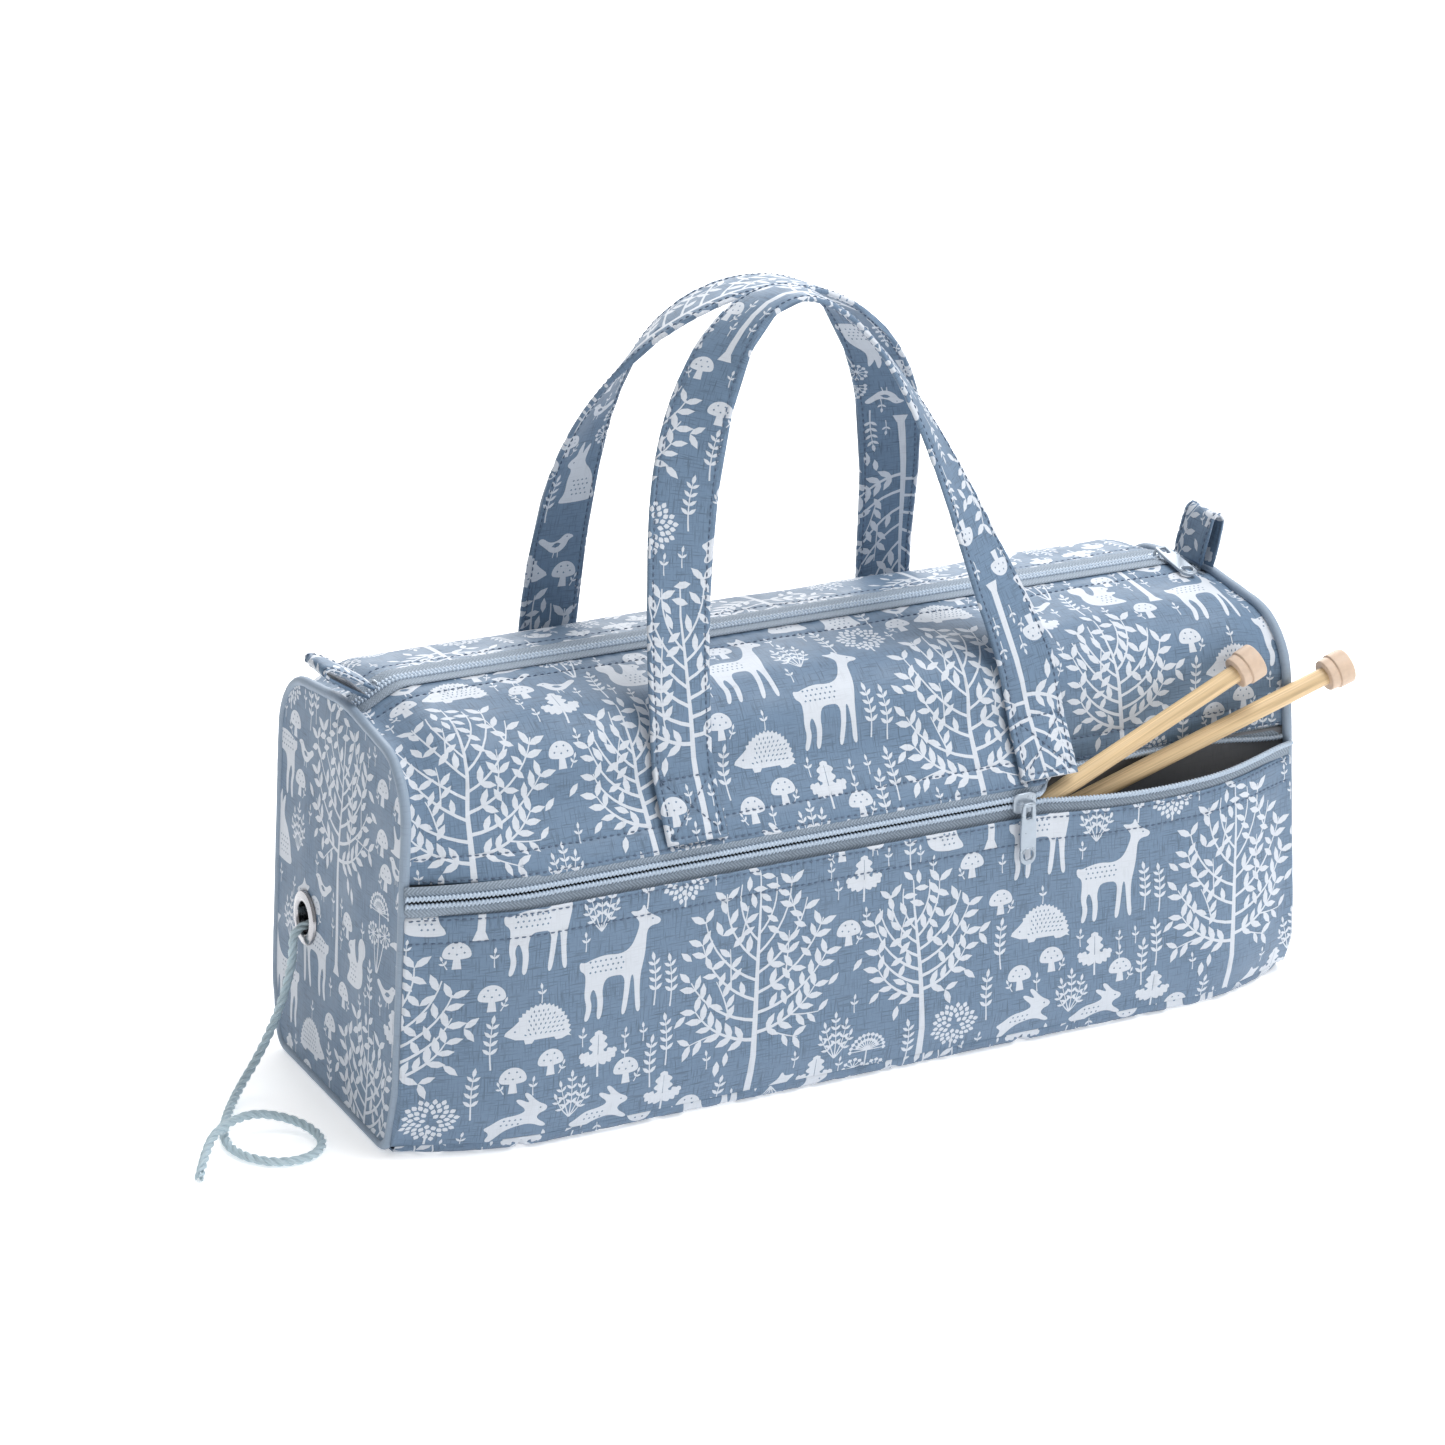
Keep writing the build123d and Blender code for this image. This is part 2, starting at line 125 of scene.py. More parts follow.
class BagColours(bpy.types.PropertyGroup):
    ground: colour("Cloth ground", 0.128, 0.202, 0.303)
    ink: colour("Printed motifs", 0.565, 0.605, 0.665)
    piping: colour("Piping", 0.25, 0.32, 0.41)
    lining: colour("Lining", 0.19, 0.195, 0.21)
    tape: colour("Zip tape", 0.40, 0.49, 0.60)
    teeth: colour("Zip teeth", 0.44, 0.53, 0.64)
    metal: colour("Sliders and pulls", 0.37, 0.43, 0.50)
    thread: colour("Stitching", 0.095, 0.14, 0.215)
    bamboo: colour("Needles", 0.80, 0.585, 0.33)
    cap: colour("Needle caps", 0.60, 0.455, 0.345)
    yarn: colour("Yarn", 0.56, 0.70, 0.77)


# ------------------------------------------------------------ small geometry helpers
def even(points, count):
    """The same line with its points evenly spaced, and its length."""
    points = np.array(points, float)
    steps = np.r_[0, np.cumsum(np.linalg.norm(np.diff(points, axis=0), axis=1))]
    spots = np.linspace(0, steps[-1], count)
    return np.stack([np.interp(spots, steps, points[:, k]) for k in range(points.shape[1])], 1), steps[-1]


def rounded(points, radii):
    """A flat open line with an arc of the given radius at each inner corner."""
    points = [Vector(p) for p in points]
    line = [points[0]]
    for before, here, after, radius in zip(points, points[1:], points[2:], radii):
        back, ahead = (before - here).normalized(), (after - here).normalized()
        half = back.angle(ahead) / 2
        reach = radius / math.tan(half)
        centre = here + (back + ahead).normalized() * (radius / math.sin(half))
        start, end = here + back * reach - centre, here + ahead * reach - centre
        line += [centre + start.slerp(end, k / 8).normalized() * radius for k in range(9)]
    line.append(points[-1])
    return line


def smooth(t):
    t = np.clip(t, 0, 1)
    return t * t * (3 - 2 * t)


def soft_line(points, rounds=2, closed=True):
    """Cuts the corners of an outline so that it looks drawn with a brush."""
    points = np.array(points, float)
    for _ in range(rounds):
        ahead = np.roll(points, -1, 0) if closed else points[1:]
        here = points if closed else points[:-1]
        cut = np.stack([0.75 * here + 0.25 * ahead, 0.25 * here + 0.75 * ahead], 1)
        cut = cut.reshape(-1, points.shape[1])
        points = cut if closed else np.vstack([points[:1], cut, points[-1:]])
    return points


# ------------------------------------------------------------ the printed motifs, in millimetres
def leaf(x, y, heading, size, width=0.42):
    """A pointed leaf from its stalk outwards."""
    ahead = np.array([math.cos(heading), math.sin(heading)])
    side = np.array([-ahead[1], ahead[0]])
    outline = [(0, 0), (0.3, 0.42), (0.62, 0.44), (1, 0), (0.62, -0.44), (0.3, -0.42)]
    return np.array([[x, y] + size * (a * ahead + b * width * side) for a, b in outline])


def stem(line, start, end):
    """A tapering strip along a line."""
    line = np.array(line, float)
    ahead = np.gradient(line, axis=0)
    ahead /= np.linalg.norm(ahead, axis=1)[:, None]
    side = np.stack([-ahead[:, 1], ahead[:, 0]], 1)
    half = np.linspace(start, end, len(line))[:, None] / 2
    return np.vstack([line + side * half, (line - side * half)[::-1]])


def bent_line(x, y, heading, length, bend, count=7):
    """A line that starts at x, y and turns evenly by bend."""
    line = [(x, y)]
    for k in range(count - 1):
        turn = heading + bend * k / (count - 1)
        step = length / (count - 1)
        line.append((line[-1][0] + step * math.cos(turn), line[-1][1] + step * math.sin(turn)))
    return np.array(line)


def twig(x, y, heading, length, bend, width=0.9, leaf_size=6.2, gap=4.6, bare=0.1):
    """A stem with pairs of leaves and one at its tip."""
    line = bent_line(x, y, heading, length, bend)
    shapes = [stem(line, width, width * 0.5)]
    pairs = max(1, int(length * (1 - bare) / gap))
    for k in range(pairs):
        share = bare + (1 - bare) * (k + 0.5) / pairs
        spot = [np.interp(share * (len(line) - 1), range(len(line)), line[:, axis]) for axis in (0, 1)]
        turn = heading + bend * share
        size = leaf_size * (1 - 0.18 * share)
        shapes += [leaf(spot[0], spot[1], turn + side * 0.85, size) for side in (1, -1)]
    shapes.append(leaf(line[-1][0], line[-1][1], heading + bend, leaf_size))
    return shapes


def tree(height, spread, clear, seed):
    """A tree with a bare trunk and a crown of evenly spaced leaves."""
    rng = random.Random(seed)
    trunk = bent_line(0, 0, math.radians(90 + rng.uniform(-5, 5)), height * 0.9, rng.uniform(-0.2, 0.2), 12)
    foot = np.array([[-3.4, 0], [-1.6, 4.5], [1.6, 4.5], [3.4, 0]])
    shapes, leaves, middles = [stem(trunk, 3.4, 0.9), foot], [], []

    def leafy(line, start, size, gap):
        steps = np.r_[0, np.cumsum(np.linalg.norm(np.diff(line, axis=0), axis=1))]
        for along in np.arange(start * steps[-1], steps[-1] + 0.1, gap):
            x, y = (np.interp(along, steps, line[:, axis]) for axis in (0, 1))
            ahead = line[min(len(line) - 1, int(along / steps[-1] * (len(line) - 1)) + 1)] - (x, y)
            heading = math.atan2(ahead[1], ahead[0]) if np.linalg.norm(ahead) > 0.1 else heading
            last = along + gap > steps[-1]
            for turn in (0.8, -0.8) + ((0.0,) if last else ()):
                one = leaf(x, y, heading + turn, size * rng.uniform(0.9, 1.08))
                middle = one.mean(0)
                if all(np.hypot(*(middle - other)) > 4.9 for other in middles):
                    middles.append(middle)
                    leaves.append(one)
        return len(leaves)

    crown = height - clear
    for k in range(6):
        share = k / 5
        at = clear + crown * (0.02 + 0.6 * share)
        x = np.interp(at, trunk[:, 1], trunk[:, 0])
        for side in (1, -1):
            rise = math.radians(8 + 36 * share + rng.uniform(-6, 6))
            full = 0.7 + 0.38 * math.sin(math.pi * (0.12 + 0.88 * share))
            reach = spread * full * rng.uniform(0.94, 1.05)
            heading = rise if side > 0 else math.pi - rise
            line = bent_line(x, at + side * 1.5, heading, reach, side * 0.95, 9)
            shapes.append(stem(line, 1.7 - share * 0.7, 0.5))
            leafy(line, 0.16, 7.6, 5.6)
            for n, along in enumerate((0.16, 0.34, 0.52, 0.72)):
                spot = [np.interp(along * 8, range(9), line[:, axis]) for axis in (0, 1)]
                turn = heading + side * 0.95 * along + (0.8 if n % 2 else -0.8) * side
                before = len(leaves)
                branch = bent_line(spot[0], spot[1], turn, reach * (0.52 - 0.22 * along),
                                   rng.uniform(-0.4, 0.4))
                if leafy(branch, 0.2, 7.2, 5.4) >= before + 3:
                    shapes.append(stem(branch, 0.8, 0.4))
    top = bent_line(trunk[-1][0], trunk[-1][1], math.radians(90), height * 0.12, 0.1)
    leafy(top, 0.0, 7.4, 5.4)
    return shapes + [stem(top, 0.9, 0.5)] + leaves, []


def spots(places, size=0.55):
    """Small four-pointed flecks in the ground's colour."""
    fleck = np.array([(1, 0), (0, 1), (-1, 0), (0, -1)]) * size
    return [fleck + place for place in places]


def fleck_field(low_x, high_x, low_y, high_y, step):
    return [(x + (step * 0.4 if n % 2 else 0), y) for n, y in enumerate(np.arange(low_y, high_y, step))
            for x in np.arange(low_x, high_x, step)]


def deer():
    body = [(1.6, 26.6), (8, 28), (15, 27), (19.5, 29), (22, 33.5), (23.6, 38.5), (22.6, 41),
            (18.6, 45), (24, 44), (25.4, 47.4), (27, 43.4), (29.6, 41.6), (33.4, 39.4), (32.8, 37.2),
            (28.8, 37), (27, 35), (26.6, 31), (26.2, 26), (25, 20.6), (24, 16.5), (23.7, 9), (24.5, 0),
            (22.3, 0), (21.5, 9), (20.9, 17), (19.7, 17), (18.9, 9), (17.6, 0), (15.4, 0), (16.6, 9),
            (17, 17.6), (12, 18.2), (8.2, 17.4), (6.8, 12.6), (7.5, 7.4), (6.6, 0), (4.4, 0), (5, 7.4),
            (4, 12), (2.7, 14), (1.3, 10.6), (2.5, 6), (0.9, 0), (-1.3, 0), (0.1, 6), (-1.2, 11),
            (-0.6, 17), (-0.8, 21), (-3.2, 22.6), (-3.4, 26.4), (-0.8, 25.6)]
    return [soft_line(body)], spots(fleck_field(1.5, 17, 21, 26, 2.3)) + spots([(29.6, 39.9)], 0.5)


def rabbit():
    body = [(-1.4, 0), (-3.4, 2.6), (-1.6, 5), (-1, 10), (2, 15.6), (5.6, 19), (7, 22), (5, 31),
            (8.6, 27), (9.6, 24.4), (9.6, 32.6), (12.4, 27.6), (12.4, 24.4), (16.2, 22), (16.6, 19.6),
            (13, 17.4), (13.8, 12), (13, 5), (15.4, 1.6), (14.8, 0)]
    return [soft_line(body)], spots(fleck_field(2, 9, 4, 12, 2.3)) + spots([(13.2, 21)], 0.5)


def leaping_rabbit():
    body = [(-1, 0.4), (1, 4), (-2.4, 6.6), (0.6, 8.4), (5, 12), (11, 12.6), (15, 14.6), (9.6, 19.4),
            (11, 20.6), (16.4, 17.4), (13, 22.4), (15, 23), (19, 18), (23.6, 15.6), (23.4, 13.2),
            (20, 12), (19.4, 9.4), (24.4, 5.6), (23, 4.2), (17, 7.6), (11, 6.8), (6.6, 5), (3, 1.4),
            (1, -0.6)]
    return [soft_line(body)], spots(fleck_field(5, 13, 7.8, 11.6, 2.3)) + spots([(20.6, 15)], 0.5)


def squirrel():
    body = [(13, 0), (18.4, 3), (19.6, 9), (18, 14), (21.6, 18), (20, 23.6), (15.4, 24.4), (13, 20),
            (14.4, 15), (12.8, 11), (10.6, 14.6), (9.6, 18.4), (10.2, 22), (7.4, 20), (3.6, 19),
            (1.6, 16.2), (4.4, 14.6), (4.6, 12.6), (1, 12.4), (1.6, 10.4), (4.8, 9.4), (4, 5.4),
            (1.6, 2.4), (1.4, 0)]
    return [soft_line(body)], spots(fleck_field(6, 12, 3, 10, 2.3)) + spots([(5, 17)], 0.5)


def hedgehog():
    back = [(11 + (12.4 + (0.9 if k % 2 else -0.2)) * math.cos(a), 1.6 + (14.6 + (0.9 if k % 2 else -0.2))
             * math.sin(a)) for k, a in enumerate(np.linspace(math.radians(38), math.radians(184), 34))]
    front = [(-0.6, 1), (2, 0), (4.6, 0), (5.4, 1.4), (14, 1.4), (15, 0), (17.8, 0), (18.4, 2), (22, 2.4),
             (26.6, 4.6), (26, 6), (22.6, 8.6)]
    marks = []
    for x, y in fleck_field(2, 18, 3.6, 14, 1.9):
        if ((x - 11) / 10.6) ** 2 + ((y - 1.6) / 12.6) ** 2 < 1 and x + y * 0.4 < 20:
            heading = math.atan2(y - 1, x - 13)
            marks.append(leaf(x, y, heading, 1.4, 0.5))
    return [np.array(back + front)], marks + spots([(22.2, 6)], 0.5)


def mushroom():
    cap = [(-6, 5), (-5.2, 9), (-2, 11.6), (2, 11.6), (5.2, 9), (6, 5), (2, 4.2), (-2, 4.2)]
    foot = [(-1.3, 4.6), (-1.9, 0), (1.9, 0), (1.3, 4.6)]
    sprout = twig(3.6, 0, 1.0, 4, 0.2, 0.5, 2.6, 3)
    flecks = spots([(-3, 7), (0, 6.4), (3, 7), (-1.6, 9.4), (1.6, 9.4)], 0.5)
    return [soft_line(cap), np.array(foot)] + sprout, flecks


def head_of_rays(x, y, radius, count, low, high):
    """Fine stalks from one point, each with a bud at its end."""
    shapes = []
    for angle in np.linspace(math.radians(low), math.radians(high), count):
        tip = (x + radius * math.cos(angle), y + radius * math.sin(angle))
        shapes += [stem([(x, y), tip], 0.5, 0.4), leaf(tip[0], tip[1], angle, 2, 1.1)]
    return shapes


def umbel():
    shapes = [stem(bent_line(0, 0, math.radians(92), 27, -0.05), 0.9, 0.6),
              stem(bent_line(0.4, 0, math.radians(70), 18, 0.25), 0.8, 0.5),
              stem(bent_line(-0.4, 0, math.radians(112), 17, -0.25), 0.8, 0.5)]
    shapes += head_of_rays(-0.5, 26, 7, 13, 0, 180) + head_of_rays(-0.5, 26.4, 4, 9, 20, 160)
    return shapes + head_of_rays(5, 17.6, 3.4, 11, 0, 327) + head_of_rays(-5.4, 15.6, 3.2, 11, 0, 327), []


def oak_leaf():
    shapes = [stem(bent_line(0, 0, math.radians(88), 9, 0.1), 0.9, 0.8)]
    for x, y, turn, size in ((0, 8, 90, 13), (-0.6, 6, 145, 9.5), (0.6, 6, 35, 9.5)):
        outline = []
        for k in range(21):
            share = k / 20
            lobes = 0.18 + 0.16 * abs(math.sin(share * math.pi * 3.5))
            reach = size * lobes * math.sin(share * math.pi) ** 0.5
            outline.append((share * size, reach))
        outline = np.array(outline + [(a, -b) for a, b in outline[-2:0:-1]])
        c, s = math.cos(math.radians(turn)), math.sin(math.radians(turn))
        shapes.append(outline @ np.array([[c, s], [-s, c]]) + (x, y))
    return shapes, [stem([(0, 10), (0, 19)], 0.3, 0.2)]


def sprig():
    return twig(0, 0, math.radians(95), 20, -0.25, 0.7, 4.4, 3.2, 0.25), []


def seedling():
    return twig(0, 0, math.radians(85), 6, 0.2, 0.5, 3.0, 2.8, 0.3), []


def spray():
    shapes = []
    for turn, length in ((90, 19), (68, 16), (112, 16), (48, 12), (132, 12)):
        shapes += twig(0, 0, math.radians(turn), length, math.radians(90 - turn) * 0.5, 0.6, 3.6, 3.2, 0.3)
    return shapes, []


def bush():
    shapes = [stem([(0, 0), (0, 8)], 0.9, 0.7)]
    for k in range(52):
        angle, radius = k * 2.39996, 1.25 * math.sqrt(k + 1)
        shapes.append(leaf(radius * math.cos(angle), 13 + radius * math.sin(angle), angle, 2.7, 0.8))
    return shapes, []


def bird():
    body = [(-8, 8.6), (-3, 5), (0, 2.4), (4, 2.2), (7, 5), (8, 8), (10.6, 9.2), (8.4, 10.6),
            (5.6, 10.8), (3.4, 8), (-1, 7), (-5.6, 10.4)]
    legs = [stem([(1.6, 2.6), (1.2, 0)], 0.5, 0.4), stem([(3.4, 2.6), (3.6, 0)], 0.5, 0.4)]
    return [soft_line(body)] + legs, spots([(7, 9.4)], 0.4) + [leaf(4.4, 6.4, 3.4, 4.6, 0.5)]


def swallow():
    body = [(-9, -1), (-3, 1), (-6, 13), (0, 4), (4, 14), (4.4, 4), (10, 3), (15, 0), (8, 0.6),
            (2, -1.2), (-3, -1.6)]
    return [soft_line(body, 1)], []


TILE = np.array([236.0, 214.0])     # one repeat of the print
BIG = ((46, 4, 108, 40, 34, 3), (160, 104, 112, 38, 52, 8), (128, 5, 90, 31, 38, 5))
SMALL = ((deer, 4), (leaping_rabbit, 2), (rabbit, 3), (squirrel, 2), (hedgehog, 2), (umbel, 3), (oak_leaf, 4),
         (bush, 3), (swallow, 2), (spray, 4), (bird, 4), (sprig, 6), (mushroom, 22), (bird, 3), (sprig, 10),
         (seedling, 46))


def covered(shape, taken, mark):
    """Whether a shape meets the taken cells of the repeat; marks them instead when mark is set."""
    low, high = np.floor(shape.min(0)) - 1, np.ceil(shape.max(0)) + 1
    xs, ys = np.meshgrid(np.arange(low[0], high[0]) + 0.5, np.arange(low[1], high[1]) + 0.5)
    inside = np.zeros(xs.shape, bool)
    for (x1, y1), (x2, y2) in zip(shape, np.roll(shape, -1, 0)):
        if y1 != y2:
            crosses = (y1 > ys) != (y2 > ys)
            inside ^= crosses & (xs < (x2 - x1) * (ys - y1) / (y2 - y1) + x1)
    cells_x = np.floor(xs[inside] % TILE[0]).astype(int)
    cells_y = np.floor(ys[inside] % TILE[1]).astype(int)
    if mark:
        taken[cells_x, cells_y] = True
    return taken[cells_x, cells_y].any()


def grown(taken, by):
    for _ in range(by):
        taken = (taken | np.roll(taken, 1, 0) | np.roll(taken, -1, 0)
                 | np.roll(taken, 1, 1) | np.roll(taken, -1, 1))
    return taken


def print_repeat(seed):
    """One repeat of the print: a list of (is a mark in the ground's colour, outline)."""
    rng = random.Random(seed)
    shapes = []
    taken = np.zeros((int(TILE[0]), int(TILE[1])), bool)

    def put(motif, x, y, flip=1):
        inks, marks = motif
        for is_mark, outlines in ((False, inks), (True, marks)):
            for outline in outlines:
                outline = outline * (flip, 1) + (x, y)
                shapes.append((is_mark, outline))
                if not is_mark:
                    covered(outline, taken, True)

    for x, y, height, spread, clear, tree_seed in BIG:
        put(tree(height, spread, clear, tree_seed), x, y)
    for make, count in SMALL:
        inks, marks = make()
        for _ in range(count):
            margin = grown(taken, 2)
            for _ in range(260):
                x, y, flip = rng.uniform(0, TILE[0]), rng.uniform(0, TILE[1]), rng.choice((1, -1))
                if not any(covered(ink * (flip, 1) + (x, y), margin, False) for ink in inks):
                    put((inks, marks), x, y, flip)
                    break
    return shapes


# ------------------------------------------------------------ cloth surfaces
class Surface:
    """A cloth surface as a grid of places; flat (u, v) in metres is mapped onto it."""

    def __init__(self, grid, width, height, flip=False):
        self.grid = np.array(grid, float)
        self.width, self.height = width, height
        along = np.gradient(self.grid, axis=0)
        up = np.gradient(self.grid, axis=1)
        out = np.cross(along, up)
        out /= np.linalg.norm(out, axis=2)[:, :, None] + 1e-12
        self.out = -out if flip else out

    def sample(self, field, uv):
        i = np.clip(uv[:, 0] / self.width, 0, 1) * (self.grid.shape[0] - 1)
        j = np.clip(uv[:, 1] / self.height, 0, 1) * (self.grid.shape[1] - 1)
        i0 = np.minimum(i.astype(int), self.grid.shape[0] - 2)
        j0 = np.minimum(j.astype(int), self.grid.shape[1] - 2)
        a, b = (i - i0)[:, None], (j - j0)[:, None]
        return ((field[i0, j0] * (1 - a) + field[i0 + 1, j0] * a) * (1 - b)
                + (field[i0, j0 + 1] * (1 - a) + field[i0 + 1, j0 + 1] * a) * b)

    def place(self, uv, lift):
        uv = np.array(uv, float)
        out = self.sample(self.out, uv)
        out /= np.linalg.norm(out, axis=1)[:, None] + 1e-12
        return self.sample(self.grid, uv) + out * np.reshape(lift, (-1, 1))


def distance_to_line(uv, line):
    """Distance from each flat point to an open line."""
    line = np.array(line, float)
    best = np.full(len(uv), 1e9)
    for a, b in zip(line, line[1:]):
        ab = b - a
        t = np.clip(((uv - a) @ ab) / (ab @ ab + 1e-18), 0, 1)
        best = np.minimum(best, np.linalg.norm(uv - (a + t[:, None] * ab), axis=1))
    return best


class Cloth:
    """One cut of printed cotton: its surface, flat outline, stitch rows, folded edges and waves."""

    def __init__(self, surface, outline, rows=(), folds=(), holes=(), wave=0.9 * MM, wave_size=48 * MM,
                 pucker=0.22 * MM, seed=0):
        self.surface, self.outline = surface, np.array(outline, float)
        self.rows = [np.array(row, float) for row in rows]
        self.folds = [np.array(fold, float) for fold in folds]
        self.holes = [np.array(hole, float) for hole in holes]
        self.wave, self.wave_size, self.pucker, self.seed = wave, wave_size, pucker, seed

    def relief(self, uv, groove=True):
        """How far the cloth stands out from its plain surface at each flat point."""
        uv = np.array(uv, float)
        waves = np.array([noise.noise(Vector((u / self.wave_size, v / self.wave_size * 1.3, self.seed * 7.3)))
                          for u, v in uv])
        lift = self.wave * waves
        edge = distance_to_line(uv, np.vstack([self.outline, self.outline[:1]]))
        lift *= smooth(edge / (14 * MM))
        for k, row in enumerate(self.rows):
            away = distance_to_line(uv, row)
            span = row[-1] - row[0]
            ahead = span / (np.linalg.norm(span) + 1e-9)
            along = uv @ ahead
            drift = 2.5 * np.sin(along / (16 * MM) + k + self.seed)
            ripple = np.sin(along * 2 * math.pi / (7.5 * MM) + drift)
            lift += self.pucker * ripple * np.exp(-away / (4.5 * MM)) * smooth(away / (0.8 * MM))
            if groove:
                lift -= 0.38 * MM * np.exp(-(away / (0.7 * MM)) ** 2)
        for fold in self.folds:
            away = distance_to_line(uv, fold)
            lift -= 0.9 * MM * (1 - np.clip(away / (1.3 * MM), 0, 1)) ** 2
        return lift

    def place(self, uv, extra=0.0, groove=True):
        return self.surface.place(uv, self.relief(uv, groove) + extra)


def signed_area(points):
    x, y = points[:, 0], points[:, 1]
    return 0.5 * float(np.sum(x * np.roll(y, -1) - np.roll(x, -1) * y))


def anticlockwise(points):
    return points if signed_area(points) > 0 else points[::-1]


def cut_print(cloth, repeat, origin, grid):
    """Flat triangles of one cut: their points, their corners, and whether each is inked."""
    low, high = cloth.outline.min(0), cloth.outline.max(0)
    faces, points = [], []

    def add(outline):
        outline = anticlockwise(np.array(outline))
        faces.append(list(range(len(points), len(points) + len(outline))))
        points.extend(map(tuple, outline))

    add(cloth.outline)
    for hole in cloth.holes:
        add(hole)
    first_shape = len(faces)
    is_mark = []
    size = TILE * MM
    origin = np.array(origin)
    for tile_x in range(math.floor((low[0] + origin[0]) / size[0]) - 1,
                        math.ceil((high[0] + origin[0]) / size[0]) + 1):
        for tile_y in range(math.floor((low[1] + origin[1]) / size[1]) - 1,
                            math.ceil((high[1] + origin[1]) / size[1]) + 1):
            for mark, shape in repeat:
                here = shape * MM + (tile_x * size[0], tile_y * size[1]) - origin
                if (here.max(0) > low).all() and (here.min(0) < high).all():
                    add(here)
                    is_mark.append(mark)
    edges = []
    for row in cloth.rows + cloth.folds:
        for aside in (-1.1 * MM, 0, 1.1 * MM):
            span = row[-1] - row[0]
            side = np.array([-span[1], span[0]]) / (np.linalg.norm(span) + 1e-9) * aside
            count = max(2, int(np.linalg.norm(np.diff(row, axis=0), axis=1).sum() / (3.2 * MM)))
            line, _ = even(row, count)
            line = line + side
            inside = (line >= low).all(1) & (line <= high).all(1)
            for k, spot in enumerate(line):
                points.append(tuple(spot))
                if k and inside[k] and inside[k - 1]:
                    edges.append((len(points) - 2, len(points) - 1))
    shift = 0
    for v in np.arange(low[1] + grid / 2, high[1], grid * 0.9):
        shift = 1 - shift
        points.extend((u, v) for u in np.arange(low[0] + grid * (0.25 + shift / 2), high[0], grid))
    found = geometry.delaunay_2d_cdt([Vector(p) for p in points], edges, faces, 0, 1e-7, True)
    places, corners, owners = found[0], found[2], found[5]
    kept, inked = [], []
    for corner, owner in zip(corners, owners):
        if 0 not in owner or any(0 < k < first_shape for k in owner):
            continue
        shapes = [k - first_shape for k in owner if k >= first_shape]
        kept.append(corner)
        inked.append(bool(shapes) and not any(is_mark[k] for k in shapes))
    return np.array([tuple(p) for p in places]), kept, inked


def new_object(name, points, faces, materials=(), uv=None, material_index=None, smooth_shade=True):
    mesh = bpy.data.meshes.new(name)
    mesh.from_pydata([tuple(map(float, p)) for p in points], [], faces)
    for material in materials:
        mesh.materials.append(material)
    if material_index is not None:
        mesh.polygons.foreach_set("material_index", material_index)
    if uv is not None:
        layer = mesh.uv_layers.new(name="Flat")
        corner = np.zeros(len(mesh.loops), int)
        mesh.loops.foreach_get("vertex_index", corner)
        layer.data.foreach_set("uv", np.array(uv, float)[corner].ravel())
    mesh.polygons.foreach_set("use_smooth", [smooth_shade] * len(mesh.polygons))
    mesh.validate()
    mesh.update()
    thing = bpy.data.objects.new(name, mesh)
    bpy.context.scene.collection.objects.link(thing)
    return thing


def alone(thing):
    """Selects one object and nothing else."""
    bpy.ops.object.select_all(action="DESELECT")
    bpy.context.view_layer.objects.active = thing
    thing.select_set(True)


def make_panel(name, cloth, repeat, origin, grid, thick):
    """A printed panel, thickened inwards."""
    flat, corners, inked = cut_print(cloth, repeat, origin, grid)
    used = sorted({k for corner in corners for k in corner})
    index = {k: n for n, k in enumerate(used)}
    flat = flat[used]
    faces = [[index[k] for k in corner] for corner in corners]
    places = cloth.place(flat)
    panel = new_object(name, places, faces, [material("Printed ground"), material("Printed ink")], flat,
                       [int(i) for i in inked])
    out = cloth.surface.sample(cloth.surface.out, flat[faces[0][:1]])[0]
    if panel.data.polygons[0].normal.dot(Vector(out)) < 0:
        panel.data.flip_normals()
    alone(panel)
    bpy.ops.object.modifier_add(type="SOLIDIFY")
    solid = panel.modifiers[-1]
    solid.thickness, solid.offset = thick, -1
    bpy.ops.object.modifier_apply(modifier=solid.name)
    return panel


def make_strap(name, cloth, repeat, origin, grid, thick):
    """A flat tube of cloth: the print on both faces, thinning to a fold at each long edge."""
    flat, corners, inked = cut_print(cloth, repeat, origin, grid)
    used = sorted({k for corner in corners for k in corner})
    index = {k: n for n, k in enumerate(used)}
    flat = flat[used]
    faces = [[index[k] for k in corner] for corner in corners]
    width = cloth.outline[:, 0].max()
    from_edge = np.minimum(flat[:, 0], width - flat[:, 0])
    half = thick / 2 * np.sqrt(1 - (1 - np.clip(from_edge / (1.4 * MM), 0, 1)) ** 2)
    for row in cloth.rows:
        half -= 0.35 * MM * np.exp(-(distance_to_line(flat, row) / (0.8 * MM)) ** 2) * (from_edge > 1 * MM)
    wave = cloth.relief(flat, groove=False)
    front = cloth.surface.place(flat, wave + half)
    back = cloth.surface.place(flat, wave - half)
    count = len(flat)
    both = np.vstack([front, back])
    all_faces = faces + [[k + count for k in face[::-1]] for face in faces]
    strap = new_object(name, both, all_faces, [material("Printed ground"), material("Printed ink")],
                       np.vstack([flat, flat]), [int(i) for i in inked] * 2)
    out = cloth.surface.sample(cloth.surface.out, flat[faces[0][:1]])[0]
    if strap.data.polygons[0].normal.dot(Vector(out)) < 0:
        strap.data.flip_normals()
    mesh = bmesh.new()
    mesh.from_mesh(strap.data)
    bmesh.ops.remove_doubles(mesh, verts=mesh.verts, dist=0.02 * MM)
    open_edges = [e for e in mesh.edges if e.is_boundary]
    bmesh.ops.holes_fill(mesh, edges=open_edges, sides=0)
    mesh.to_mesh(strap.data)
    mesh.free()
    return strap


# ------------------------------------------------------------ tubes, ribs and stitches
def outwards(thing):
    mesh = bmesh.new()
    mesh.from_mesh(thing.data)
    bmesh.ops.recalc_face_normals(mesh, faces=mesh.faces)
    mesh.to_mesh(thing.data)
    mesh.free()


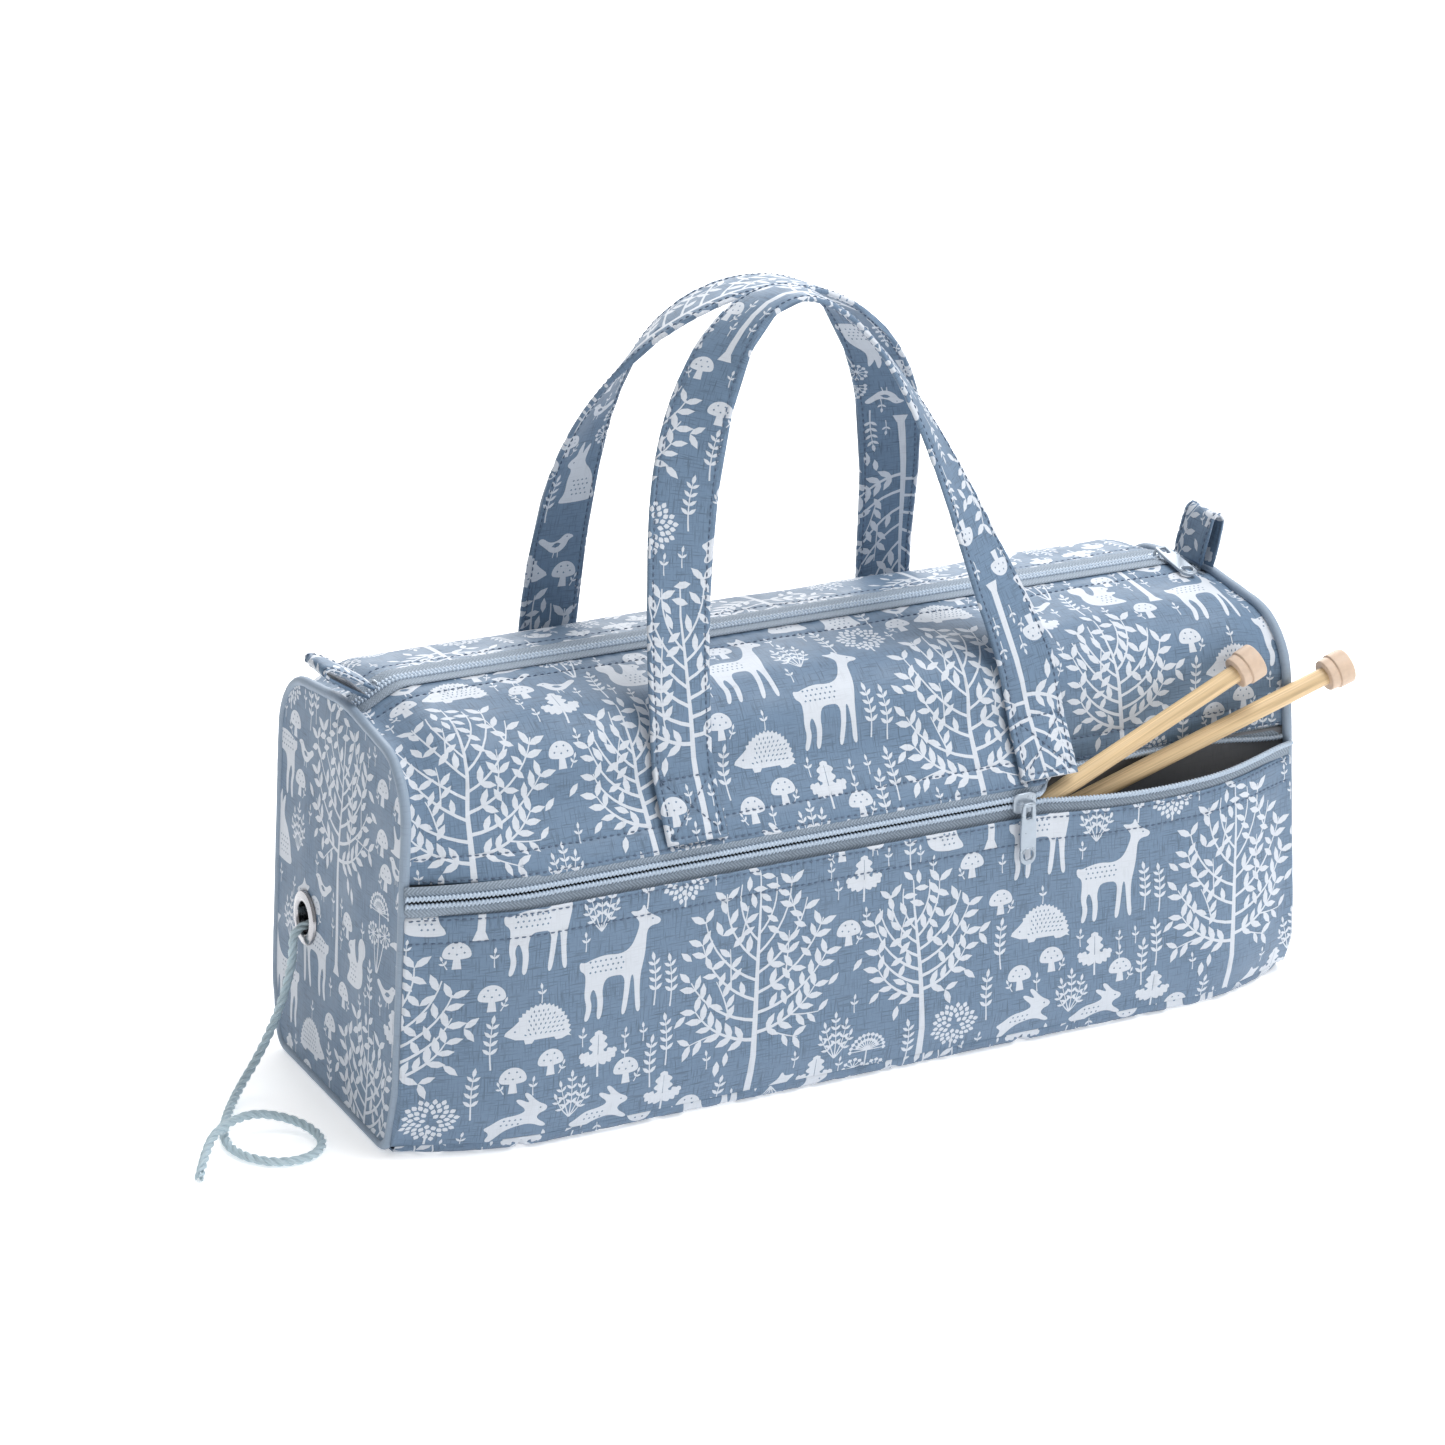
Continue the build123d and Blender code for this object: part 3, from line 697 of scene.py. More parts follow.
def frames_along(line, up):
    """(place, right, up) along a line, with up kept as near as it can be to the given directions."""
    line = np.array(line, float)
    ahead = np.gradient(line, axis=0)
    ahead /= np.linalg.norm(ahead, axis=1)[:, None]
    up = np.broadcast_to(np.array(up, float), line.shape)
    right = np.cross(ahead, up)
    right /= np.linalg.norm(right, axis=1)[:, None]
    up = np.cross(right, ahead)
    return [(Vector(p), Vector(r), Vector(u)) for p, r, u in zip(line, right, up)]


def add_stitches(name, rows, sizes):
    """Topstitching: each row is (points, outward directions), and each stitch a small bead of thread."""
    points, faces = [], []
    pitch = sizes.stitch + sizes.stitch_gap
    profile = ((0, 0.25, -0.35), (0.22, 0.85, 0.05), (0.5, 1, 0.2), (0.78, 0.85, 0.05), (1, 0.25, -0.35))
    radius = 0.32 * MM
    for places, outs in rows:
        places, outs = np.array(places, float), np.array(outs, float)
        steps = np.r_[0, np.cumsum(np.linalg.norm(np.diff(places, axis=0), axis=1))]
        for n in range(int(steps[-1] / pitch)):
            start = (n + 0.1) * pitch
            base = len(points)
            for share, size, lift in profile:
                at = start + share * sizes.stitch
                spot = Vector([np.interp(at, steps, places[:, k]) for k in range(3)])
                out = Vector([np.interp(at, steps, outs[:, k]) for k in range(3)]).normalized()
                near = Vector([np.interp(at + 0.2 * MM, steps, places[:, k]) for k in range(3)])
                far = Vector([np.interp(at - 0.2 * MM, steps, places[:, k]) for k in range(3)])
                side = (near - far).normalized().cross(out).normalized()
                for k in range(6):
                    angle = k * math.pi / 3
                    points.append(spot + out * (lift * MM + radius * size * math.sin(angle))
                                  + side * radius * size * math.cos(angle))
            for ring in range(len(profile) - 1):
                for k in range(6):
                    a, b = base + ring * 6, base + ring * 6 + 6
                    faces.append((a + k, a + (k + 1) % 6, b + (k + 1) % 6, b + k))
            faces.append(tuple(base + k for k in range(6)))
            faces.append(tuple(base + (len(profile) - 1) * 6 + k for k in range(6)))
    thread = new_object(name, points, faces, [material("Stitching thread")])
    outwards(thread)
    return thread


def rows_on(cloth, rows, lift=0.12 * MM):
    """Stitch rows of a cloth as points and outward directions."""
    found = []
    for row in rows:
        length = np.linalg.norm(np.diff(row, axis=0), axis=1).sum()
        line, _ = even(row, max(4, int(length / (1.5 * MM))))
        found.append((cloth.place(line, lift), cloth.surface.sample(cloth.surface.out, line)))
    return found


# ------------------------------------------------------------ materials
def material(name):
    return bpy.data.materials[name]


def group(name, inputs, outputs):
    """An empty node group with named sockets, and its input and output nodes."""
    tree_ = bpy.data.node_groups.new(name, "ShaderNodeTree")
    for label, kind, value in inputs:
        socket = tree_.interface.new_socket(label, in_out="INPUT", socket_type=kind)
        if value is not None:
            socket.default_value = value
    for label, kind in outputs:
        tree_.interface.new_socket(label, in_out="OUTPUT", socket_type=kind)
    return tree_, tree_.nodes.new("NodeGroupInput"), tree_.nodes.new("NodeGroupOutput")


def node(tree_, kind, links=(), **values):
    """Adds a node, sets its properties and numbered inputs, and links inputs from other sockets."""
    made = tree_.nodes.new(kind)
    for key, value in values.items():
        if key.startswith("in_"):
            made.inputs[int(key[3:])].default_value = value
        else:
            setattr(made, key, value)
    for target, source in links:
        tree_.links.new(source, made.inputs[target])
    return made


def stretched_noise(tree_, vector, scale, detail=2.0, rough=0.6):
    """Noise drawn out along the axes by different scales."""
    stretch = node(tree_, "ShaderNodeVectorMath", [(0, vector)], operation="MULTIPLY", in_1=scale)
    return node(tree_, "ShaderNodeTexNoise", [("Vector", stretch.outputs[0])], in_2=1.0, in_3=detail,
                in_4=rough)


def build_groups():
    # slub weave: threads both ways, with thick places, from a flat position in metres
    weave, source, result = group(
        "Slub weave",
        [("Vector", "NodeSocketVector", None), ("Color", "NodeSocketColor", (0.5, 0.5, 0.5, 1)),
         ("Slub Color", "NodeSocketColor", (0.2, 0.2, 0.2, 1)), ("Slub", "NodeSocketFloat", 0.5)],
        [("Color", "NodeSocketColor"), ("Height", "NodeSocketFloat"), ("Roughness", "NodeSocketFloat")])
    vector = source.outputs["Vector"]
    across = stretched_noise(weave, vector, (105, 1350, 1))
    along = stretched_noise(weave, vector, (1350, 105, 1))
    both = node(weave, "ShaderNodeMath", [(0, across.outputs[0]), (1, along.outputs[0])], operation="MINIMUM")
    level = node(weave, "ShaderNodeMapRange", [(0, both.outputs[0])], in_1=0.31, in_2=0.49, in_3=1.0,
                 in_4=0.0)
    cloudy = stretched_noise(weave, vector, (55, 55, 1), 3.0)
    patch = node(weave, "ShaderNodeMapRange", [(0, cloudy.outputs[0])], in_1=0.3, in_2=0.7, in_3=0.45,
                 in_4=1.0)
    amount = node(weave, "ShaderNodeMath", [(0, level.outputs[0]), (1, patch.outputs[0])],
                  operation="MULTIPLY")
    amount = node(weave, "ShaderNodeMath", [(0, amount.outputs[0]), (1, source.outputs["Slub"])],
                  operation="MULTIPLY")
    mix = node(weave, "ShaderNodeMix", data_type="RGBA")
    weave.links.new(amount.outputs[0], mix.inputs[0])
    weave.links.new(source.outputs["Color"], mix.inputs[6])
    weave.links.new(source.outputs["Slub Color"], mix.inputs[7])
    weave.links.new(mix.outputs[2], result.inputs["Color"])
    total = node(weave, "ShaderNodeMath", [(0, across.outputs[0]), (1, along.outputs[0])], operation="ADD")
    weave.links.new(total.outputs[0], result.inputs["Height"])
    rough = node(weave, "ShaderNodeMapRange", [(0, cloudy.outputs[0])], in_1=0.3, in_2=0.7, in_3=0.50,
                 in_4=0.66)
    weave.links.new(rough.outputs[0], result.inputs["Roughness"])

    # herringbone: zigzag ribs along a tape, from a flat position in metres
    bone, source, result = group(
        "Herringbone", [("Vector", "NodeSocketVector", None),
                        ("Color", "NodeSocketColor", (0.5, 0.5, 0.5, 1)),
                        ("Dark", "NodeSocketColor", (0.2, 0.2, 0.2, 1))],
        [("Color", "NodeSocketColor"), ("Height", "NodeSocketFloat")])
    parts = node(bone, "ShaderNodeSeparateXYZ", [(0, source.outputs["Vector"])])
    fold = node(bone, "ShaderNodeMath", [(0, parts.outputs[1])], operation="PINGPONG", in_1=2.4 * MM)
    slant = node(bone, "ShaderNodeMath", [(0, fold.outputs[0]), (1, parts.outputs[0])], operation="ADD")
    wave = node(bone, "ShaderNodeMath", [(0, slant.outputs[0])], operation="PINGPONG", in_1=0.8 * MM)
    ribs = node(bone, "ShaderNodeMath", [(0, wave.outputs[0])], operation="MULTIPLY", in_1=1 / (0.8 * MM))
    grit = stretched_noise(bone, source.outputs["Vector"], (900, 900, 1))
    blend = node(bone, "ShaderNodeMath", [(0, ribs.outputs[0]), (1, grit.outputs[0])], operation="MULTIPLY")
    mix = node(bone, "ShaderNodeMix", [(0, blend.outputs[0])], data_type="RGBA")
    bone.links.new(source.outputs["Dark"], mix.inputs[6])
    bone.links.new(source.outputs["Color"], mix.inputs[7])
    bone.links.new(mix.outputs[2], result.inputs["Color"])
    bone.links.new(ribs.outputs[0], result.inputs["Height"])

    # speckle: fine uneven roughness and a slight change of colour, for moulded and enamelled things
    speckle, source, result = group(
        "Speckle", [("Vector", "NodeSocketVector", None), ("Color", "NodeSocketColor", (0.5, 0.5, 0.5, 1)),
                    ("Scale", "NodeSocketFloat", 300.0), ("Low", "NodeSocketFloat", 0.3),
                    ("High", "NodeSocketFloat", 0.5)],
        [("Color", "NodeSocketColor"), ("Roughness", "NodeSocketFloat"), ("Height", "NodeSocketFloat")])
    grain = node(speckle, "ShaderNodeTexNoise",
                 [("Vector", source.outputs["Vector"]), ("Scale", source.outputs["Scale"])], in_3=4.0)
    rough = node(speckle, "ShaderNodeMapRange", [(0, grain.outputs[0]), (3, source.outputs["Low"]),
                                                 (4, source.outputs["High"])], in_1=0.3, in_2=0.7)
    speckle.links.new(rough.outputs[0], result.inputs["Roughness"])
    shade = node(speckle, "ShaderNodeMapRange", [(0, grain.outputs[0])], in_1=0.2, in_2=0.8, in_3=0.90,
                 in_4=1.06)
    tone = node(speckle, "ShaderNodeVectorMath", [(0, source.outputs["Color"]), (1, shade.outputs[0])],
                operation="MULTIPLY")
    speckle.links.new(tone.outputs[0], result.inputs["Color"])
    speckle.links.new(grain.outputs[0], result.inputs["Height"])

    # lengthwise grain: long fibres and bands, from a position whose z runs along the piece
    grain_group, source, result = group(
        "Long grain", [("Vector", "NodeSocketVector", None), ("Color", "NodeSocketColor", (0.5, 0.5, 0.5, 1)),
                       ("Dark", "NodeSocketColor", (0.3, 0.2, 0.1, 1))],
        [("Color", "NodeSocketColor"), ("Height", "NodeSocketFloat"), ("Roughness", "NodeSocketFloat")])
    fibre = stretched_noise(grain_group, source.outputs["Vector"], (1500, 1500, 22), 3.0)
    band = stretched_noise(grain_group, source.outputs["Vector"], (260, 260, 9), 2.0)
    flecks = node(grain_group, "ShaderNodeMapRange", [(0, fibre.outputs[0])], in_1=0.35, in_2=0.75, in_3=0.0,
                  in_4=0.7)
    bands = node(grain_group, "ShaderNodeMapRange", [(0, band.outputs[0])], in_1=0.35, in_2=0.7, in_3=0.0,
                 in_4=0.5)
    amount = node(grain_group, "ShaderNodeMath", [(0, flecks.outputs[0]), (1, bands.outputs[0])],
                  operation="ADD")
    mix = node(grain_group, "ShaderNodeMix", [(0, amount.outputs[0])], data_type="RGBA")
    grain_group.links.new(source.outputs["Color"], mix.inputs[6])
    grain_group.links.new(source.outputs["Dark"], mix.inputs[7])
    grain_group.links.new(mix.outputs[2], result.inputs["Color"])
    grain_group.links.new(fibre.outputs[0], result.inputs["Height"])
    rough = node(grain_group, "ShaderNodeMapRange", [(0, fibre.outputs[0])], in_1=0.3, in_2=0.7, in_3=0.42,
                 in_4=0.6)
    grain_group.links.new(rough.outputs[0], result.inputs["Roughness"])


def finish_material(name, slot, group_name, values, vector, bump=0.0, distance=0.2 * MM, **constants):
    """A material around one effect group; constants go straight onto the shader's own sockets."""
    made = bpy.data.materials.new(name)
    made.use_nodes = True
    made["slot"] = slot
    tree_ = made.node_tree
    shader = tree_.nodes["Principled BSDF"]
    if vector == "object":
        place = tree_.nodes.new("ShaderNodeTexCoord").outputs["Object"]
    elif vector == "flat":
        place = node(tree_, "ShaderNodeUVMap", uv_map="Flat").outputs[0]
    else:
        place = node(tree_, "ShaderNodeAttribute", attribute_name=vector).outputs["Vector"]
    effect = node(tree_, "ShaderNodeGroup", node_tree=bpy.data.node_groups[group_name])
    tree_.links.new(place, effect.inputs["Vector"])
    for key, value in values.items():
        effect.inputs[key].default_value = value
    tree_.links.new(effect.outputs["Color"], shader.inputs["Base Color"])
    if "Roughness" in effect.outputs:
        tree_.links.new(effect.outputs["Roughness"], shader.inputs["Roughness"])
    if bump:
        lifted = node(tree_, "ShaderNodeBump", [("Height", effect.outputs["Height"])])
        lifted.inputs["Strength"].default_value = bump
        lifted.inputs["Distance"].default_value = distance
        tree_.links.new(lifted.outputs[0], shader.inputs["Normal"])
    for key, value in constants.items():
        shader.inputs[key].default_value = value
    return made


def shade(rgb, by):
    return tuple(c * by for c in rgb) + (1,)


def build_materials(colours):
    build_groups()
    cloth = {"Roughness": 0.85, "Sheen Weight": 0.06, "Sheen Roughness": 0.5, "Specular IOR Level": 0.5}
    for name, slot, tone, slub, amount in (
            ("Printed ground", "printed_cotton", colours.ground, 0.5, 0.95),
            ("Printed ink", "printed_cotton", colours.ink, 0.72, 0.42),
            ("Piping cotton", "piping_cotton", colours.piping, 0.75, 0.5),
            ("Pocket lining", "lining_cotton", colours.lining, 0.7, 0.5)):
        finish_material(name, slot, "Slub weave",
                        {"Color": shade(tone, 1), "Slub Color": shade(tone, slub), "Slub": amount},
                        "flat", 0.35, 0.12 * MM, **cloth)
    finish_material("Woven zip tape", "zip_tape", "Herringbone",
                    {"Color": shade(colours.tape, 1.08), "Dark": shade(colours.tape, 0.42)}, "flat", 0.5,
                    0.15 * MM, Roughness=0.75)
    finish_material("Nylon teeth", "zip_teeth", "Speckle",
                    {"Color": shade(colours.teeth, 1), "Scale": 700.0, "Low": 0.38, "High": 0.5}, "object")
    finish_material("Slider enamel", "slider_metal", "Speckle",
                    {"Color": shade(colours.metal, 1), "Scale": 260.0, "Low": 0.25, "High": 0.4},
                    "object", 0.08, 0.05 * MM, **{"Coat Weight": 0.25, "Metallic": 0.35})
    finish_material("Stitching thread", "printed_cotton", "Speckle",
                    {"Color": shade(colours.thread, 1), "Scale": 1400.0, "Low": 0.6, "High": 0.8}, "object")
    finish_material("Polished nickel", "eyelet_metal", "Speckle",
                    {"Color": (0.40, 0.40, 0.42, 1), "Scale": 500.0, "Low": 0.16, "High": 0.30}, "object",
                    Metallic=1.0)
    finish_material("Bamboo", "bamboo", "Long grain",
                    {"Color": shade(colours.bamboo, 1), "Dark": shade(colours.bamboo, 0.5)}, "turned", 0.25,
                    0.08 * MM, **{"Coat Weight": 0.08, "Coat Roughness": 0.35})
    finish_material("Cap plastic", "cap_plastic", "Speckle",
                    {"Color": shade(colours.cap, 1), "Scale": 420.0, "Low": 0.42, "High": 0.58},
                    "object", 0.1, 0.05 * MM)
    finish_material("Cotton yarn", "yarn_cotton", "Long grain",
                    {"Color": shade(colours.yarn, 1), "Dark": shade(colours.yarn, 0.66)},
                    "ply", 0.5, 0.25 * MM, **{"Sheen Weight": 0.15})
    finish_material("Stiffener board", "base_board", "Speckle",
                    {"Color": (0.05, 0.05, 0.055, 1), "Scale": 200.0, "Low": 0.6, "High": 0.8},
                    "object", 0.1, 0.05 * MM)


def settle(thing, body, *replaced, slot=None):
    """Rides a finished piece on its body and hides the frame parts that it replaces."""
    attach(thing, body)
    slot or thing.data.materials[0]["slot"]
    if replaced:
        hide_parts(*replaced)
    return thing


# ------------------------------------------------------------ the shape of the bag
def end_x(z):
    """Where the end plane stands at a height."""
    return HALF_LENGTH - z * END_LEAN


def fall(x):
    """How far the top drops towards each end."""
    return END_DROP * smooth((abs(x) - 191 * MM) / (25 * MM))


def top_fall(x):
    """The same drop for pieces along the top zip, which stand on the leaning ends' scale."""
    return fall(x * (HALF_LENGTH - 4 * MM) / (end_x(TOP) - 0.8 * MM))


def wall_grid(section, reach, columns=120, rows=70, inset=0.6 * MM):
    """A grid of places from a section (x -> line of (y, z)), ending on both leaning end planes."""
    grid, lengths = [], []
    for share in np.linspace(-1, 1, columns):
        line, length = even(section(share * reach), rows)
        lengths.append(length)
        grid.append([(share * (end_x(z) - inset), y, z) for y, z in line])
    return np.array(grid), float(np.median(lengths))


def pocket_out(x, middle, end, bend_from=158 * MM):
    """Plan curve of the pocket: flat in the middle and swept in to both ends."""
    t = np.clip((abs(x) - bend_from) / (HALF_LENGTH - bend_from), 0, 1)
    return middle + (end - middle) * t ** 1.7


def gape(x):
    """How far the lower edge of the open zip stands away, 0 to 1."""
    t = np.clip((x - OPEN_FROM) / (OPEN_TO - OPEN_FROM), 0, 1)
    return math.sin(math.pi * t ** 0.85) ** 1.2


def edge_line(x):
    """The upper panel's lower edge: over the teeth where the zip is shut, behind them where it is open."""
    out = pocket_out(x, -83.7 * MM, -HALF_DEPTH)
    return out + (-66.6 * MM - out) * smooth((x - 78 * MM) / (24 * MM))


def upper_section(x):
    drop = fall(x)
    start = edge_line(x)
    waist = (-HALF_DEPTH - 0.3 * MM, 148 * MM - drop)
    points = [(start, PANEL_EDGE), waist, (-HALF_DEPTH, SHOULDER - drop), (-ZIP_GAP, TOP - drop)]
    return rounded(points, (17 * MM, 26 * MM))


def back_section(x):
    drop = fall(x)
    points = [(58.5 * MM, SEAM), (HALF_DEPTH + 0.2 * MM, 32 * MM), (HALF_DEPTH, SHOULDER - drop),
              (ZIP_GAP, TOP + 0.8 * MM - drop)]
    return rounded(points, (60 * MM, 26 * MM))


def pocket_section(x):
    face = pocket_out(x, POCKET_FACE, -68.4 * MM)
    seam = pocket_out(x, -82 * MM, -60.6 * MM)
    lean = -2.2 * MM * gape(x)
    top = POCKET_TOP - 2.6 * MM * gape(x)
    return rounded([(seam, SEAM), (face, 20 * MM), (face + lean + 0.3 * MM, top)], (26 * MM,))


def lining_section(x):
    return rounded([(-58.6 * MM, SEAM), (-64.4 * MM, 32 * MM), (-66.0 * MM, PANEL_EDGE - 0.6 * MM)],
                   (60 * MM,))


def line_at(height, low, high, count=60):
    return np.stack([np.linspace(low, high, count), np.full(count, height)], 1)


def corners(width, height):
    return [(0, 0), (width, 0), (width, height), (0, height)]


def near_ends(width, uv, reach, by):
    """Extra lift beside the piping at both ends."""
    away = np.minimum(uv[:, 0], width - uv[:, 0])
    return by * (1 - smooth(away / reach))


class WallCloth(Cloth):
    """A long wall, which rises to meet the piping at both ends."""

    def relief(self, uv, groove=True):
        uv = np.array(uv, float)
        return super().relief(uv, groove) + near_ends(self.surface.width, uv, 7 * MM, 1.3 * MM)


def wall_cloth(section, rows, folds, seed, flip=False, wave=1.1 * MM, inset=0.6 * MM):
    grid, height = wall_grid(section, HALF_LENGTH - 4 * MM, inset=inset)
    width = 2 * (HALF_LENGTH - 6 * MM)
    surface = Surface(grid, width, height, flip)
    made = {"low": 0, "high": height}
    stitch_rows = [line_at(made[side] + offset, 1 * MM, width - 1 * MM) for side, offset in rows]
    fold_rows = [line_at(made[side], 0, width, 3) for side in folds]
    return WallCloth(surface, corners(width, height), stitch_rows, fold_rows, wave=wave, seed=seed)


def end_outline(grow=0.0):
    """Rounded outline of an end as (across, up) on its leaning plane."""
    low, side = 58 * MM + grow, HALF_DEPTH + grow
    high, crown = SHOULDER - END_DROP + grow, TOP - END_DROP + grow
    bottom = 4.8 * MM - grow
    outline = [(-low, bottom), (low, bottom), (side, 32 * MM), (side, high),
               (ZIP_GAP, crown), (-ZIP_GAP, crown), (-side, high), (-side, 32 * MM)]
    radii = [9 * MM, 9 * MM, 40 * MM, 26 * MM + grow, 18 * MM, 18 * MM, 26 * MM + grow, 40 * MM]
    loop = []
    for k, radius in enumerate(radii):
        three = [outline[k - 1], outline[k], outline[(k + 1) % len(outline)]]
        loop += [tuple(p) for p in rounded(three, (radius,))[1:-1]]
    return np.array(loop)


def end_place(side, across, up, out=0.0):
    """A place on an end's leaning plane; across is its y."""
    slope = math.atan(END_LEAN)
    x = HALF_LENGTH - up * math.sin(slope) + out * math.cos(slope)
    return np.array([side * x, across, up * math.cos(slope) + out * math.sin(slope)])


# ------------------------------------------------------------ operators
def sizes_of(context):
    return context.scene.knit_bag_sizes


_repeat = {}


def print_of(context):
    seed = sizes_of(context).print_seed
    if seed not in _repeat:
        _repeat[seed] = print_repeat(seed)
    return _repeat[seed]


class StageOperator(bpy.types.Operator):
    """Adds the camera, the pale floor and the studio lights"""
    bl_idname = "knitbag.stage"
    bl_label = "Stage"

    def execute(self, context):
        azimuth, elevation = math.radians(-26.44), math.radians(20.07)
        back = Vector((math.sin(azimuth) * math.cos(elevation), -math.cos(azimuth) * math.cos(elevation),
                       math.sin(elevation)))
        bpy.ops.object.camera_add(location=(-0.80024, -1.54034, 0.76841),
                                  rotation=(-back).to_track_quat("-Z", "Y").to_euler())
        camera = context.object
        camera.data.sensor_width = 36
        camera.data.lens = 105.7
        context.scene.camera = camera
        context.scene.view_settings.view_transform = "Standard"

        bpy.ops.mesh.primitive_plane_add(size=12, location=(0, 0, -0.2 * MM))
        floor = context.object
        floor.name = "Floor"
        white = bpy.data.materials.new("Pale floor")
        white.use_nodes = True
        white.node_tree.nodes["Principled BSDF"].inputs["Base Color"].default_value = (0.95, 0.95, 0.95, 1)
        white.node_tree.nodes["Principled BSDF"].inputs["Emission Color"].default_value = (1, 1, 1, 1)
        white.node_tree.nodes["Principled BSDF"].inputs["Emission Strength"].default_value = 0.42
        white.node_tree.nodes["Principled BSDF"].inputs["Roughness"].default_value = 0.9
        floor.data.materials.append(white)

        world = bpy.data.worlds.new("Studio")
        context.scene.world = world
        world.use_nodes = True
        world.node_tree.nodes["Background"].inputs["Color"].default_value = (1, 1, 1, 1)
        world.node_tree.nodes["Background"].inputs["Strength"].default_value = 0.45
        for name, place, size, power in (("Key", (0.7, -0.5, 2.1), 1.4, 44),
                                         ("Fill", (0.9, -2.2, 1.0), 1.8, 6),
                                         ("Back", (0.8, 2.0, 1.2), 1.8, 42)):
            bpy.ops.object.light_add(type="AREA", location=place)
            light = context.object
            light.name = name
            light.data.size, light.data.energy = size, power
            light.rotation_euler = (Vector((0, 0, 0.1)) - Vector(place)).to_track_quat("-Z", "Y").to_euler()
        return {"FINISHED"}


YARN_ROUTE = (
    (-186, 34.4, 71), (-203, 33.4, 67.6), (-222.2, 32.7, 66.9), (-222.7, 32.5, 53.5), (-226.3, 32.3, 40),
    (-232.3, 31.6, 26), (-241.5, 29, 12), (-252.5, 21.5, 3.8), (-263, 6.5, 2.1), (-272.5, -11, 2.1),
    (-277, -27, 2.1), (-273.5, -42, 2.1), (-263, -53, 2.1), (-249, -53.5, 2.1), (-239.5, -43.5, 2.3),
    (-240.5, -30, 3.9), (-250, -20.5, 7.1), (-264, -18.5, 10.4), (-282, -28.5, 10.4), (-291, -40, 6),
    (-297.5, -51.5, 2.1))


def spline_line(name, route, resolution=14):
    """Points along the smooth line that a route's points control."""
    data = bpy.data.curves.new(name, "CURVE")
    data.dimensions = "3D"
    spline = data.splines.new("NURBS")
    spline.points.add(len(route) - 1)
    for point, place in zip(spline.points, route):
        point.co = (*(c * MM for c in place), 1)
    spline.order_u = 3
    spline.use_endpoint_u = True
    spline.resolution_u = resolution
    curve = bpy.data.objects.new(name, data)
    bpy.context.scene.collection.objects.link(curve)
    bpy.context.view_layer.update()
    mesh = bpy.data.meshes.new_from_object(curve)
    line = [v.co.copy() for v in mesh.vertices]
    bpy.data.objects.remove(curve)
    bpy.data.meshes.remove(mesh)
    return line


